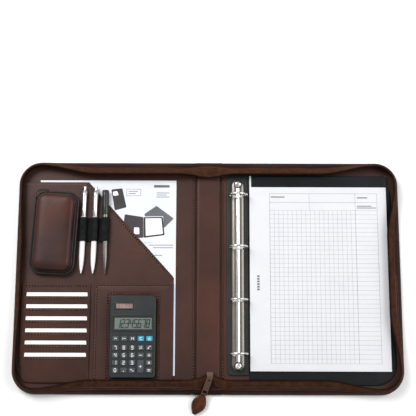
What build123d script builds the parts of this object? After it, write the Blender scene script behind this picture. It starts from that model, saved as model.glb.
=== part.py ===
from build123d import *
import math
import os

# Zip-round leather portfolio case, lying open and flat with its inside up.
# Origin: centre of the spine's outer face, on the surface that the case lies on.
# +X points to the back cover, +Y to the top edge, +Z up out of the case's inside.

# ---- driving dimensions, mm ----
HALF_WIDTH = 293.0        # origin to each fore edge
HALF_LENGTH = 177.0       # origin to the top and bottom edges
CORNER_R = 36.0
FOLD_X = 22.0             # fold lines either side of the spine
HINGE_Z = 1.0             # height of the fold axes
SKIN_TOP = 3.2            # padded outer leather
BOARD_TOP = 5.0           # stiffener
LINING_TOP = 6.0          # inner leatherette
FRONT_RECESS = 1.8        # the front's plain panel lies this far above its turned edge
SKIN_START_X = 24.6       # outer leather of each cover starts here, clear of the fold
INNER_INSET = 5.0         # board and lining stay this far inside the outline
POCKET_INSET = 6.5        # pockets stay this far inside the outline
SPINE_SKIN_X = 21.5
SPINE_INNER_X = 16.4

# zip gusset: leather band, then zip tape with its coil
GUSSET_START_X = 38.0
GUSSET_FOOT = (0.3, 3.3)  # (distance inside the outline, height)
GUSSET_KNEE = (6.2, 11.0)
GUSSET_LIP = (14.4, 22.2)
GUSSET_LEATHER_T = 1.8
ZIP_TAPE_T = 1.0
ZIP_COIL_W = 2.6
ZIP_COIL_H = 1.8
ZIP_TOP = 22.6

# front pockets
LEAFLET_T = 0.4
LEAFLET_Z = 6.1
LEAFLET_X = (-259.5, -49.5)
LEAFLET_Y = (-149.0, 148.0)
POCKET_Z = 6.7
POCKET_T = 1.2
POCKET_TOP = POCKET_Z + POCKET_T
POCKET_RIGHT_X = -52.0
POCKET_BOTTOM_Y = -161.0
POCKET_TOP_Y = 145.0
POCKET_DIAGONAL_X = -184.5
POCKET_DIAGONAL_Y = -2.6
HEM_W = 4.0

# card slots
CARD_COUNT = 6
CARD_PITCH = 18.0
CARD_FIRST_Y = -31.7
CARD_SHOWS = 5.5
CARD_X = (-273.5, -181.5)
CARD_LENGTH = 34.0
CARD_T = 0.5
SLOT_T = 0.8
SLOT_LENGTH = 24.0
SLOT_LEAD_Z = 11.8        # height of each slot's upper edge
SLOT_RISE = 1.5           # height lost over one pitch
SLOT_X = (-281.0, -177.5)
SLOT_RAIL_W = 4.0
LOWER_SEAM_Y = -13.4      # upper edge of the card slots and the calculator pocket

# calculator
CALC_CENTRE = (-112.2, -92.2)
CALC_SIZE = (68.5, 121.0, 9.0)
CALC_CORNER_R = 4.0
CALC_GAP = 0.5
CALC_Z = POCKET_TOP + 0.1
CALC_POCKET_X = (-171.0, -52.6)
KEY_SIZE = (9.4, 7.4)
KEY_GAP = 0.25
KEY_TRAVEL = 0.8
KEY_DEPTH = 3.4           # part of a key inside the case
KEY_STANDS = 1.3
KEY_POCKET_DEPTH = KEY_DEPTH + KEY_TRAVEL + 0.3
KEY_COLUMNS = [-25.0, -12.5, 0.0, 12.5, 25.0]
KEY_ROWS = [-2.8, -16.2, -27.2, -38.2, -49.2]
KEY_NAMES = [
    ["mark_up", "sign_change", "memory_recall", "clear", "power"],
    ["seven", "eight", "nine", "percent", "root"],
    ["four", "five", "six", "minus", "divide"],
    ["one", "two", "three", "plus", "multiply"],
    ["zero", "point", "double_zero", None, "equals"],
]
DISPLAY_SIZE = (56.0, 17.4)
DISPLAY_CENTRE = (0.5, 19.6)
SOLAR_SIZE = (25.0, 7.6)
SOLAR_CENTRE = (-13.0, 45.6)
WINDOW_T = 1.0

# pens: (top x, bottom x, radius)
PEN_TOP_Y = 131.0
PEN_BOTTOM_Y = 1.5
PEN_LINES = [(-189.7, -192.5, 4.0), (-172.6, -174.8, 4.0), (-157.9, -156.5, 4.5)]
PEN_TIP_LENGTH = 14.0
PEN_TIP_R = 1.0
PEN_CLIP_W = 3.0
PEN_CLIP_T = 0.9
PEN_CLIP_LENGTH = 40.0
PEN_CLIP_GAP = 1.2
BUTTON_R = 2.3
BUTTON_BORE_DEPTH = 11.0
BUTTON_STANDS = 6.0
BUTTON_TRAVEL = 4.0
BUTTON_GAP = 0.1
LOOP_Y = (51.7, 88.5)
LOOP_T = 1.1
LOOP_GAP = 0.3
LOOP_BASE_T = 0.8
LOOP_BASE_OVERHANG = 1.0

# phone pouch
POUCH_CENTRE = (-234.0, 64.6)
POUCH_SIZE = (68.0, 128.0)
POUCH_CORNER_R = 17.0
POUCH_TURN = -3.0         # degrees about Z
POUCH_WALL = 1.6
POUCH_SPLIT_Z = 16.6
POUCH_SPLIT_GAP = 0.3
POUCH_TOP_Z = 30.0
POUCH_LID_INSET = 3.0
POUCH_LID_TAPER = 18.0

# back cover contents
RING_PLATE_X = (28.5, 61.0)
RING_PLATE_Y = (-149.0, 156.0)
RING_PLATE_TOP = 8.0
RING_PLATE_R = 7.0
PAD_POCKET_X = (61.6, 281.0)
PAD_POCKET_Y = (-163.0, 153.0)
PAD_POCKET_T = 1.4
PAD_POCKET_R = 30.0
PAD_X = (63.0, 273.0)
PAD_Y = (-142.5, 154.5)
PAD_TOP = 11.6
PAD_BACK_T = 0.8
HEAD_BAND_Y = 137.0
HEAD_BAND_T = 0.5

# ring mechanism
RAIL_X = 45.0
RAIL_Y = 3.0
RAIL_HALF_LENGTH = 144.0
RAIL_HALF_W = 10.0
RAIL_HEIGHT = 6.5
RAIL_T = 0.8
RAIL_END_CHAMFER = 6.5
RING_SPACING = 80.0
RING_R = 13.6
RING_WIRE_R = 1.4
RING_CENTRE_Z = 20.8
RING_FOOT_ANGLE = 232.0
RING_TIP_GAP_DEG = 0.3
RING_NOTCH_W = 4.8
RING_BRIDGE_HALF_W = 4.0
BLADE_HALF_LENGTH = 124.0
BLADE_OUTER = 8.2         # pivot edge of each blade, from the rail's centre line
BLADE_INNER = 0.4
BLADE_Z = 8.3
BLADE_T = 0.8
RIVET_AT = 138.0
RIVET_HEAD_R = 3.6
RIVET_HEAD_H = 1.8
RIVET_SHANK_R = 1.6
RIVET_GAP = 0.05

# outside of the front cover
EDGE_W = 8.0
RIBBED_X = (-79.0, -25.0)
RIBBED_HALF_Y = 165.0
RIB_PITCH = 3.5
RIB_DEPTH = 0.7
STRAP_X = (-272.0, -197.0)
STRAP_HALF_W = 15.0
STRAP_T = 1.6

# zip slider and its pull
SLIDER_X = 3.0
SLIDER_Y = (-155.5, -143.5)
SLIDER_Z = (6.3, 12.3)
SLIDER_PLATE_T = 1.3
SLIDER_TOP_W = 9.6
SLIDER_END_W = 6.4
SLIDER_CORE_R = 1.8
EYE_OUTER_R = 2.3
EYE_INNER_R = 1.3
EYE_W = 2.6
PIVOT = (SLIDER_X, -152.0, SLIDER_Z[1] + 1.6)
LINK_YAW = -20.0
LINK_TILT = 10.0
LINK_LENGTH = 26.0        # pivot bar to tab bar
LINK_W = 8.8
LINK_T = 1.2
LINK_BAR_R = 0.8
LINK_TOP_HOLE = (3.8, 4.4)
LINK_END_HOLE = (6.4, 4.6)
LINK_END_BAR = 2.4
TAB_EYE_OUTER_R = 2.7
TAB_EYE_INNER_R = 1.75
TAB_EYE_W = 5.4
TAB_T = 2.2
TAB_LENGTH = 33.0
TAB_HALF_W = 10.0
TAB_YAW = -8.0            # further turn of the leaf past the link
TAB_TILT = 2.0


def block(xs, ys, zs):
    """Box from a low and a high value on each axis."""
    size = [high - low for low, high in (xs, ys, zs)]
    centre = [(high + low) / 2 for low, high in (xs, ys, zs)]
    return Pos(*centre) * Box(*size)


def slab(sketch, z0, z1):
    return Pos(0, 0, z0) * extrude(sketch, amount=z1 - z0)


def rectangle(xs, ys):
    centre = Pos((xs[0] + xs[1]) / 2, (ys[0] + ys[1]) / 2)
    return centre * Rectangle(xs[1] - xs[0], ys[1] - ys[0])


def cover_face(inset, start_x):
    """Outline of the back cover, inset from its edge, from start_x outwards."""
    width = 2 * (HALF_WIDTH - inset)
    length = 2 * (HALF_LENGTH - inset)
    whole = RectangleRounded(width, length, CORNER_R - inset)
    return whole & rectangle((start_x, HALF_WIDTH + 1), (-HALF_LENGTH, HALF_LENGTH))


def to_front(shape):
    """Mirror a back cover shape onto the front cover."""
    return mirror(shape, about=Plane.YZ)


# ---- covers ----

def gusset_sweep(points):
    """Sweep a section, given as (distance inside the outline, height), round three sides."""
    path = FilletPolyline(
        (GUSSET_START_X, -HALF_LENGTH),
        (HALF_WIDTH, -HALF_LENGTH),
        (HALF_WIDTH, HALF_LENGTH),
        (GUSSET_START_X, HALF_LENGTH),
        radius=CORNER_R,
    )
    outline = [(GUSSET_START_X, inside - HALF_LENGTH, height) for inside, height in points]
    section = make_face(Polyline(*outline, close=True))
    return sweep(section, path=path)


def gusset_leather():
    """Leather band that stands on the outer leather and leans inwards."""
    foot_u, foot_z = GUSSET_FOOT
    knee_u, knee_z = GUSSET_KNEE
    return gusset_sweep([
        (foot_u, foot_z),
        (foot_u + GUSSET_LEATHER_T, foot_z),
        (knee_u + GUSSET_LEATHER_T, knee_z),
        (knee_u, knee_z),
    ])


def zip_tape():
    """Tape above the leather band, with the zip's coil along its free edge."""
    knee_u, knee_z = GUSSET_KNEE
    lip_u, lip_z = GUSSET_LIP
    base = knee_u + 0.3
    coil_low = ZIP_TOP - ZIP_COIL_H
    tape = [
        (base, knee_z),
        (base + ZIP_TAPE_T, knee_z),
        (lip_u + ZIP_TAPE_T, coil_low),
        (lip_u + ZIP_COIL_W, coil_low),
        (lip_u + ZIP_COIL_W, ZIP_TOP),
        (lip_u, ZIP_TOP),
        (lip_u, lip_z - ZIP_COIL_H),
    ]
    return gusset_sweep(tape)


def cover_board():
    return slab(cover_face(INNER_INSET, SKIN_START_X), SKIN_TOP, BOARD_TOP)


def cover_lining():
    return slab(cover_face(INNER_INSET, SKIN_START_X), BOARD_TOP, LINING_TOP)


def back_outer_leather():
    return slab(cover_face(0, SKIN_START_X), 0, SKIN_TOP)


def ribbed_panel():
    """Panel beside the spine whose ribs run across it."""
    count = int(2 * RIBBED_HALF_Y / RIB_PITCH)
    start = -count * RIB_PITCH / 2
    outline = [(start, FRONT_RECESS)]
    for index in range(count):
        foot = start + index * RIB_PITCH
        outline.append((foot, RIB_DEPTH))
        outline.append((foot + RIB_PITCH * 0.2, 0))
        outline.append((foot + RIB_PITCH * 0.8, 0))
    outline.append((-start, RIB_DEPTH))
    outline.append((-start, FRONT_RECESS))
    points = [(RIBBED_X[0], y, z) for y, z in outline]
    comb = make_face(Polyline(*points, close=True))
    return extrude(comb, amount=RIBBED_X[1] - RIBBED_X[0], dir=(1, 0, 0))


def front_outer_leather():
    """Plain panel with a turned edge on three sides."""
    panel = slab(cover_face(0, SKIN_START_X), FRONT_RECESS, SKIN_TOP)
    edge = cover_face(0, SKIN_START_X) - cover_face(EDGE_W, SKIN_START_X)
    return to_front(panel + slab(edge, 0, FRONT_RECESS))


def closure_strap():
    """Strap with a rounded end that folds over the outer pocket's opening."""
    straight = (STRAP_X[0], STRAP_X[1] - STRAP_HALF_W)
    outline = rectangle(straight, (-STRAP_HALF_W, STRAP_HALF_W))
    outline += Pos(straight[1], 0) * Circle(STRAP_HALF_W)
    return slab(outline, 0, STRAP_T)


# ---- spine ----

def spine_leather():
    return block((-SPINE_SKIN_X, SPINE_SKIN_X), (-HALF_LENGTH, HALF_LENGTH), (0, SKIN_TOP))


def spine_layer(z0, z1):
    length = HALF_LENGTH - INNER_INSET
    return block((-SPINE_INNER_X, SPINE_INNER_X), (-length, length), (z0, z1))


def zip_slider():
    """Two plates held apart by a core, with an eye on top for the pull."""
    low, high = SLIDER_Y
    shape = make_face(Polyline(
        (-SLIDER_TOP_W / 2, high), (SLIDER_TOP_W / 2, high),
        (SLIDER_TOP_W / 2, high - 4.0), (SLIDER_END_W / 2, low),
        (-SLIDER_END_W / 2, low), (-SLIDER_TOP_W / 2, high - 4.0),
        close=True,
    ))
    plate = Pos(SLIDER_X, 0) * shape
    body = slab(plate, SLIDER_Z[0], SLIDER_Z[0] + SLIDER_PLATE_T)
    body += slab(plate, SLIDER_Z[1] - SLIDER_PLATE_T, SLIDER_Z[1])
    core = Pos(SLIDER_X, high - SLIDER_CORE_R - 0.4) * Circle(SLIDER_CORE_R)
    body += slab(core, SLIDER_Z[0], SLIDER_Z[1])
    across = Pos(*PIVOT) * Rot(0, 0, LINK_YAW) * Rot(0, 90, 0)
    return body + across * Cylinder(EYE_OUTER_R, EYE_W) - across * Cylinder(EYE_INNER_R, EYE_W * 2)


def link_place():
    """Frame of the pull link: origin on its pivot bar, running out along local -Y."""
    return Pos(*PIVOT) * Rot(0, 0, LINK_YAW) * Rot(LINK_TILT, 0, 0)


def zip_pull_link():
    """Flat link with a round pivot bar at one end and a bar for the leather tab."""
    end = -LINK_LENGTH - LINK_END_BAR / 2
    plate = rectangle((-LINK_W / 2, LINK_W / 2), (end, LINK_BAR_R))
    top_w, top_l = LINK_TOP_HOLE
    plate -= rectangle((-top_w / 2, top_w / 2), (-LINK_BAR_R - top_l, LINK_BAR_R))
    end_w, end_l = LINK_END_HOLE
    bar_in = -LINK_LENGTH + LINK_END_BAR / 2
    plate -= rectangle((-end_w / 2, end_w / 2), (bar_in, bar_in + end_l))
    link = slab(plate, -LINK_T / 2, LINK_T / 2)
    link += Rot(0, 90, 0) * Cylinder(LINK_BAR_R, LINK_W)
    return link_place() * link


def tab_outline():
    """Leaf shape: narrow neck, full waist, rounded point."""
    neck = TAB_EYE_W / 2
    start = -TAB_EYE_OUTER_R + 0.6
    left = Spline((-neck, start - 2.5), (-TAB_HALF_W, -0.5 * TAB_LENGTH), (-1.5, -TAB_LENGTH))
    right = Spline((1.5, -TAB_LENGTH), (TAB_HALF_W, -0.5 * TAB_LENGTH), (neck, start - 2.5))
    bottom = Line((-1.5, -TAB_LENGTH), (1.5, -TAB_LENGTH))
    top = Polyline((neck, start - 2.5), (neck, start), (-neck, start), (-neck, start - 2.5))
    return make_face(Curve() + [left, bottom, right, top])


def zip_pull_tab():
    """Leather leaf with an eye round the link's end bar."""
    eye = Rot(0, 90, 0) * Cylinder(TAB_EYE_OUTER_R, TAB_EYE_W)
    leaf = slab(tab_outline(), -TAB_T / 2, TAB_T / 2)
    tab = eye + Rot(0, 0, TAB_YAW) * Rot(TAB_TILT, 0, 0) * leaf
    tab -= Rot(0, 90, 0) * Cylinder(TAB_EYE_INNER_R, TAB_EYE_W * 2)
    return link_place() * Pos(0, -LINK_LENGTH, 0) * tab


# ---- front cover contents ----

def leaflet():
    """A4 leaflet behind the document pocket."""
    return block(LEAFLET_X, LEAFLET_Y, (LEAFLET_Z, LEAFLET_Z + LEAFLET_T))


def cards():
    """One card in each slot."""
    sheets = []
    for index in range(CARD_COUNT):
        card = block(CARD_X, (CARD_SHOWS - CARD_LENGTH, CARD_SHOWS), (-SLOT_T - CARD_T, -SLOT_T))
        sheets.append(slot_place(index) * card)
    return Compound([sheet.solid() for sheet in sheets])


def document_pocket():
    """Pocket with a diagonal mouth, sewn down along its left and bottom edges."""
    outline = make_face(Polyline(
        (-HALF_WIDTH, POCKET_TOP_Y), (POCKET_DIAGONAL_X, POCKET_TOP_Y),
        (POCKET_RIGHT_X, POCKET_DIAGONAL_Y), (POCKET_RIGHT_X, POCKET_BOTTOM_Y),
        (-HALF_WIDTH, POCKET_BOTTOM_Y),
        close=True,
    ))
    outline = outline & to_front(cover_face(POCKET_INSET, SKIN_START_X))
    left = -HALF_WIDTH + POCKET_INSET + HEM_W
    inner = rectangle((left, 0), (POCKET_BOTTOM_Y + HEM_W, HALF_LENGTH))
    return slab(outline, POCKET_Z, POCKET_TOP) + slab(outline - inner, LINING_TOP, POCKET_Z)


def slot_place(index):
    """Frame on the upper edge of a card slot, tilted so that the slots overlap like tiles."""
    angle = math.degrees(math.atan(SLOT_RISE / CARD_PITCH))
    return Pos(0, CARD_FIRST_Y - index * CARD_PITCH, SLOT_LEAD_Z) * Rot(angle, 0, 0)


def card_slots():
    """Six overlapping leather slots between two sewn side rails."""
    bottom = POCKET_BOTTOM_Y + 0.5
    header = (CARD_FIRST_Y - 2.0, LOWER_SEAM_Y)
    rails = block(SLOT_X, header, (POCKET_TOP, POCKET_TOP + SLOT_T))
    left = (SLOT_X[0], SLOT_X[0] + SLOT_RAIL_W)
    right = (SLOT_X[1] - SLOT_RAIL_W + 1.0, SLOT_X[1])
    for side in (left, right):
        rails += block(side, (bottom, LOWER_SEAM_Y), (POCKET_TOP, POCKET_TOP + 2.4))
    last_length = CARD_FIRST_Y - (CARD_COUNT - 1) * CARD_PITCH - bottom
    for index in range(CARD_COUNT):
        length = last_length if index == CARD_COUNT - 1 else SLOT_LENGTH
        strip = block(SLOT_X, (-length, 0), (-SLOT_T, 0))
        rails += slot_place(index) * strip
    room = block((-HALF_WIDTH, 0), (bottom, LOWER_SEAM_Y), (POCKET_TOP, 2 * SLOT_LEAD_Z))
    cut = slab(to_front(cover_face(POCKET_INSET + 1.0, SKIN_START_X)), 0, 2 * SLOT_LEAD_Z)
    return rails & room & cut


def calculator_pocket():
    """Panel with a window that frames the calculator."""
    panel = rectangle(CALC_POCKET_X, (POCKET_BOTTOM_Y + 0.5, LOWER_SEAM_Y))
    width, length = CALC_SIZE[0] + 2 * CALC_GAP, CALC_SIZE[1] + 2 * CALC_GAP
    window = Pos(*CALC_CENTRE) * RectangleRounded(width, length, CALC_CORNER_R + CALC_GAP)
    return slab(panel - window, POCKET_TOP, POCKET_TOP + POCKET_T)


def key_layout():
    """Each key's name, centre and size; the plus key is two rows tall."""
    keys = []
    for row, names in enumerate(KEY_NAMES):
        for column, name in enumerate(names):
            if name is None:
                continue
            x = CALC_CENTRE[0] + KEY_COLUMNS[column]
            y = CALC_CENTRE[1] + KEY_ROWS[row]
            width, length = KEY_SIZE
            if name == "plus":
                step = KEY_ROWS[row] - KEY_ROWS[row + 1]
                y -= step / 2
                length += step
            keys.append((name, x, y, width, length))
    return keys


def calculator_case():
    """Case with a pocket for each key, and its display and solar windows."""
    width, length, height = CALC_SIZE
    top = CALC_Z + height
    case = slab(Pos(*CALC_CENTRE) * RectangleRounded(width, length, CALC_CORNER_R), CALC_Z, top)
    rims = case.faces().sort_by(Axis.Z)[-1].edges()
    case = fillet(rims, 1.2)
    for _, x, y, key_w, key_l in key_layout():
        hole = rectangle((x - key_w / 2 - KEY_GAP, x + key_w / 2 + KEY_GAP),
                         (y - key_l / 2 - KEY_GAP, y + key_l / 2 + KEY_GAP))
        case -= slab(hole, top - KEY_POCKET_DEPTH, top + 1)
    windows = []
    for (offset_x, offset_y), size in ((DISPLAY_CENTRE, DISPLAY_SIZE), (SOLAR_CENTRE, SOLAR_SIZE)):
        place = Pos(CALC_CENTRE[0] + offset_x, CALC_CENTRE[1] + offset_y)
        case -= slab(place * Rectangle(*size), top - WINDOW_T, top + 1)
        windows.append(slab(place * Rectangle(*size), top - WINDOW_T, top - 0.3))
    return Compound([case.solid()] + [window.solid() for window in windows])


def calculator_key(x, y, width, length):
    top = CALC_Z + CALC_SIZE[2]
    cap = slab(Pos(x, y) * RectangleRounded(width, length, 0.9), top - KEY_DEPTH, top + KEY_STANDS)
    return fillet(cap.faces().sort_by(Axis.Z)[-1].edges(), 0.5)


def pen_axis_z(radius):
    return POCKET_TOP + LOOP_BASE_T + LOOP_GAP + radius


def pen_place(line):
    """Frame at a pen's upper end, running down the pen along local -Y."""
    top_x, bottom_x, radius = line
    turn = math.degrees(math.atan2(bottom_x - top_x, PEN_TOP_Y - PEN_BOTTOM_Y))
    return Pos(top_x, PEN_TOP_Y, pen_axis_z(radius)) * Rot(0, 0, turn)


def pen(line, has_button):
    """Barrel with a tapered tip and a clip, bored for a push button where it has one."""
    radius = line[2]
    length = PEN_TOP_Y - PEN_BOTTOM_Y
    half = make_face(Polyline(
        (0, 0), (radius * 0.8, 0), (radius, -2.0), (radius, PEN_TIP_LENGTH - length),
        (PEN_TIP_R, -length), (0, -length),
        close=True,
    ))
    barrel = revolve(half, axis=Axis.Y)
    clip_low = radius + PEN_CLIP_GAP
    clip_x = (-PEN_CLIP_W / 2, PEN_CLIP_W / 2)
    barrel += block(clip_x, (-PEN_CLIP_LENGTH, -3.0), (clip_low, clip_low + PEN_CLIP_T))
    barrel += block(clip_x, (-7.0, -3.0), (radius * 0.5, clip_low + PEN_CLIP_T))
    if has_button:
        bore = Rot(90, 0, 0) * Cylinder(BUTTON_R + BUTTON_GAP, 2 * BUTTON_BORE_DEPTH)
        barrel -= bore
    return pen_place(line) * barrel


def pens():
    """Two push-button pens and one capped pen."""
    has_button = [True, True, False]
    return Compound([pen(line, flag).solid() for line, flag in zip(PEN_LINES, has_button)])


def pen_button(line):
    depth = BUTTON_BORE_DEPTH - BUTTON_TRAVEL - 0.5
    length = depth + BUTTON_STANDS
    button = Rot(90, 0, 0) * Cylinder(BUTTON_R, length)
    button = fillet(button.edges().sort_by(Axis.Y)[-1], 0.6)
    return pen_place(line) * Pos(0, BUTTON_STANDS - length / 2, 0) * button


def loop_x(line, y):
    """Where a pen's axis crosses the given y."""
    share = (PEN_TOP_Y - y) / (PEN_TOP_Y - PEN_BOTTOM_Y)
    return line[0] + (line[1] - line[0]) * share


def pen_loops():
    """Elastic band sewn down between the pens, with a loop over each."""
    middle = (LOOP_Y[0] + LOOP_Y[1]) / 2
    length = LOOP_Y[1] - LOOP_Y[0]
    first, last = PEN_LINES[0], PEN_LINES[-1]
    wall = LOOP_GAP + LOOP_T
    base_x = (loop_x(first, middle) - first[2] - wall - LOOP_BASE_OVERHANG,
              loop_x(last, middle) + last[2] + wall + LOOP_BASE_OVERHANG)
    loops = block(base_x, LOOP_Y, (POCKET_TOP, POCKET_TOP + LOOP_BASE_T))
    for line in PEN_LINES:
        x = loop_x(line, middle)
        outer = line[2] + wall
        tube = Pos(x, middle, pen_axis_z(line[2])) * Rot(90, 0, 0) * Cylinder(outer, length)
        keep = block((x - outer, x + outer), LOOP_Y, (POCKET_TOP, POCKET_TOP + 4 * outer))
        loops += tube & keep
    for line in PEN_LINES:
        bore = Rot(90, 0, 0) * Cylinder(line[2] + LOOP_GAP, 3 * length)
        loops -= pen_place(line) * Pos(0, middle - PEN_TOP_Y, 0) * bore
    return loops


def pouch_place():
    return Pos(POUCH_CENTRE[0], POUCH_CENTRE[1], 0) * Rot(0, 0, POUCH_TURN)


def pouch_face(inset):
    width, length = POUCH_SIZE
    return RectangleRounded(width - 2 * inset, length - 2 * inset, POUCH_CORNER_R - inset)


def pouch_base():
    """Lower tray of the phone pouch, sewn to the document pocket."""
    tray = slab(pouch_face(0), POCKET_TOP, POUCH_SPLIT_Z)
    tray -= slab(pouch_face(POUCH_WALL), POCKET_TOP + POUCH_WALL, POUCH_SPLIT_Z + 1)
    return pouch_place() * tray


def dome(inset, height):
    lid = extrude(pouch_face(POUCH_LID_INSET + inset), amount=height, taper=POUCH_LID_TAPER)
    return fillet(lid.faces().sort_by(Axis.Z)[-1].edges(), 5.0)


def pouch_lid():
    """Domed lid on a flange as wide as the tray."""
    foot = POUCH_SPLIT_Z + POUCH_SPLIT_GAP
    height = POUCH_TOP_Z - foot
    lid = slab(pouch_face(0), foot, foot + POUCH_WALL) + Pos(0, 0, foot) * dome(0, height)
    lid -= Pos(0, 0, foot - 0.01) * dome(POUCH_WALL, height - POUCH_WALL)
    return pouch_place() * lid


# ---- back cover contents ----

def pad_pocket():
    """Black panel that the notepad's back card slips into."""
    outline = rectangle(PAD_POCKET_X, PAD_POCKET_Y)
    corners = outline.vertices().sort_by(Axis.X)[-2:]
    outline = fillet(corners, PAD_POCKET_R)
    return slab(outline, LINING_TOP, LINING_TOP + PAD_POCKET_T)


def notepad():
    """Back card, sheets, and the head band that binds them."""
    floor = LINING_TOP + PAD_POCKET_T
    card = block(PAD_X, PAD_Y, (floor, floor + PAD_BACK_T))
    sheets = block(PAD_X, PAD_Y, (floor + PAD_BACK_T, PAD_TOP))
    band = block(PAD_X, (HEAD_BAND_Y, PAD_Y[1]), (PAD_TOP, PAD_TOP + HEAD_BAND_T))
    return Compound([piece.solid() for piece in (card, sheets, band)])


def ring_plate():
    outline = rectangle(RING_PLATE_X, RING_PLATE_Y)
    corners = outline.vertices().sort_by(Axis.X)[:2]
    outline = fillet(corners, RING_PLATE_R)
    return slab(outline, LINING_TOP, RING_PLATE_TOP)


def rail_arch(half_width, height):
    """Segment of a circle standing on the ring plate, as an X-Z face at the rail's start."""
    y = RAIL_Y - RAIL_HALF_LENGTH
    left = (RAIL_X - half_width, y, RING_PLATE_TOP)
    crown = (RAIL_X, y, RING_PLATE_TOP + height)
    right = (RAIL_X + half_width, y, RING_PLATE_TOP)
    return make_face(Curve() + [ThreePointArc(left, crown, right), Line(right, left)])


def ring_positions():
    return [RAIL_Y + RING_SPACING * (index - 1.5) for index in range(4)]


def ring_rail():
    """Arched steel rail with tapered ends, notched at each ring, and its two rivets."""
    length = 2 * RAIL_HALF_LENGTH
    rail = extrude(rail_arch(RAIL_HALF_W, RAIL_HEIGHT), amount=length, dir=(0, 1, 0))
    hollow = rail_arch(RAIL_HALF_W - RAIL_T, RAIL_HEIGHT - RAIL_T)
    rail -= extrude(hollow, amount=length, dir=(0, 1, 0))
    top = RING_PLATE_TOP + RAIL_HEIGHT
    plan = Pos(RAIL_X, RAIL_Y) * Rectangle(2 * RAIL_HALF_W, length)
    rail &= slab(chamfer(plan.vertices(), RAIL_END_CHAMFER), RING_PLATE_TOP - 1, top + 1)
    for y in ring_positions():
        across = (y - RING_NOTCH_W / 2, y + RING_NOTCH_W / 2)
        for side in (-1, 1):
            near = RAIL_X + side * RING_BRIDGE_HALF_W
            far = RAIL_X + side * (RAIL_HALF_W + 1)
            rail -= block((min(near, far), max(near, far)), across, (RING_PLATE_TOP - 1, top + 1))
    pieces = []
    for side in (-1, 1):
        place = Pos(RAIL_X, RAIL_Y + side * RIVET_AT)
        rail -= slab(place * Circle(RIVET_SHANK_R + RIVET_GAP), RING_PLATE_TOP - 1, top + 1)
        rivet = slab(place * Circle(RIVET_SHANK_R), RING_PLATE_TOP, top + 0.5)
        head = slab(place * Circle(RIVET_HEAD_R), top + 0.05, top + RIVET_HEAD_H)
        head = fillet(head.faces().sort_by(Axis.Z)[-1].edges(), RIVET_HEAD_H * 0.8)
        pieces.append(rivet + head)
    return Compound([rail.solid()] + [piece.solid() for piece in pieces])


def rings_left():
    """Blade under the rail with the left halves of the four rings."""
    blade_x = (RAIL_X - BLADE_OUTER, RAIL_X - BLADE_INNER)
    blade_y = (RAIL_Y - BLADE_HALF_LENGTH, RAIL_Y + BLADE_HALF_LENGTH)
    half = block(blade_x, blade_y, (BLADE_Z, BLADE_Z + BLADE_T))
    for y in ring_positions():
        centre = Plane(origin=(RAIL_X, y, RING_CENTRE_Z), x_dir=(1, 0, 0), z_dir=(0, -1, 0))
        start = 90 + RING_TIP_GAP_DEG
        arc = CenterArc((0, 0, 0), RING_R, start, RING_FOOT_ANGLE - start)
        arc = centre * arc
        wire = sweep(Plane(origin=arc @ 0, z_dir=arc % 0) * Circle(RING_WIRE_R), path=arc)
        foot = block((blade_x[0], blade_x[0] + 2.6), (y - RING_WIRE_R, y + RING_WIRE_R),
                     (BLADE_Z, BLADE_Z + 2.2))
        half += wire + foot
    return half


def rings_right():
    return mirror(rings_left(), about=Plane.YZ.offset(RAIL_X))


# ---- assembly ----

parts = {
    "back_outer_leather": back_outer_leather(),
    "back_board": cover_board(),
    "back_lining": cover_lining(),
    "back_gusset": gusset_leather(),
    "back_zip_tape": zip_tape(),
    "pad_pocket": pad_pocket(),
    "notepad": notepad(),
    "ring_plate": ring_plate(),
    "ring_rail": ring_rail(),
    "rings_left": rings_left(),
    "rings_right": rings_right(),
    "spine_leather": spine_leather(),
    "spine_board": spine_layer(SKIN_TOP, BOARD_TOP),
    "spine_lining": spine_layer(BOARD_TOP, LINING_TOP),
    "zip_slider": zip_slider(),
    "zip_pull_link": zip_pull_link(),
    "zip_pull_tab": zip_pull_tab(),
    "front_outer_leather": front_outer_leather(),
    "ribbed_panel": ribbed_panel(),
    "closure_strap": closure_strap(),
    "front_board": to_front(cover_board()),
    "front_lining": to_front(cover_lining()),
    "front_gusset": to_front(gusset_leather()),
    "front_zip_tape": to_front(zip_tape()),
    "document_pocket": document_pocket(),
    "leaflet": leaflet(),
    "cards": cards(),
    "card_slots": card_slots(),
    "calculator_pocket": calculator_pocket(),
    "calculator_case": calculator_case(),
    "pen_loops": pen_loops(),
    "pens": pens(),
    "pen_button_left": pen_button(PEN_LINES[0]),
    "pen_button_middle": pen_button(PEN_LINES[1]),
    "pouch_base": pouch_base(),
    "pouch_lid": pouch_lid(),
}
for key_name, key_x, key_y, key_w, key_l in key_layout():
    parts["key_" + key_name] = calculator_key(key_x, key_y, key_w, key_l)

os.makedirs("parts", exist_ok=True)
for node, shape in parts.items():
    export_step(shape, "parts/" + node + ".step")
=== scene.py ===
import math

import bmesh
import bpy
import numpy as np
from mathutils import Matrix, Vector


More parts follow.
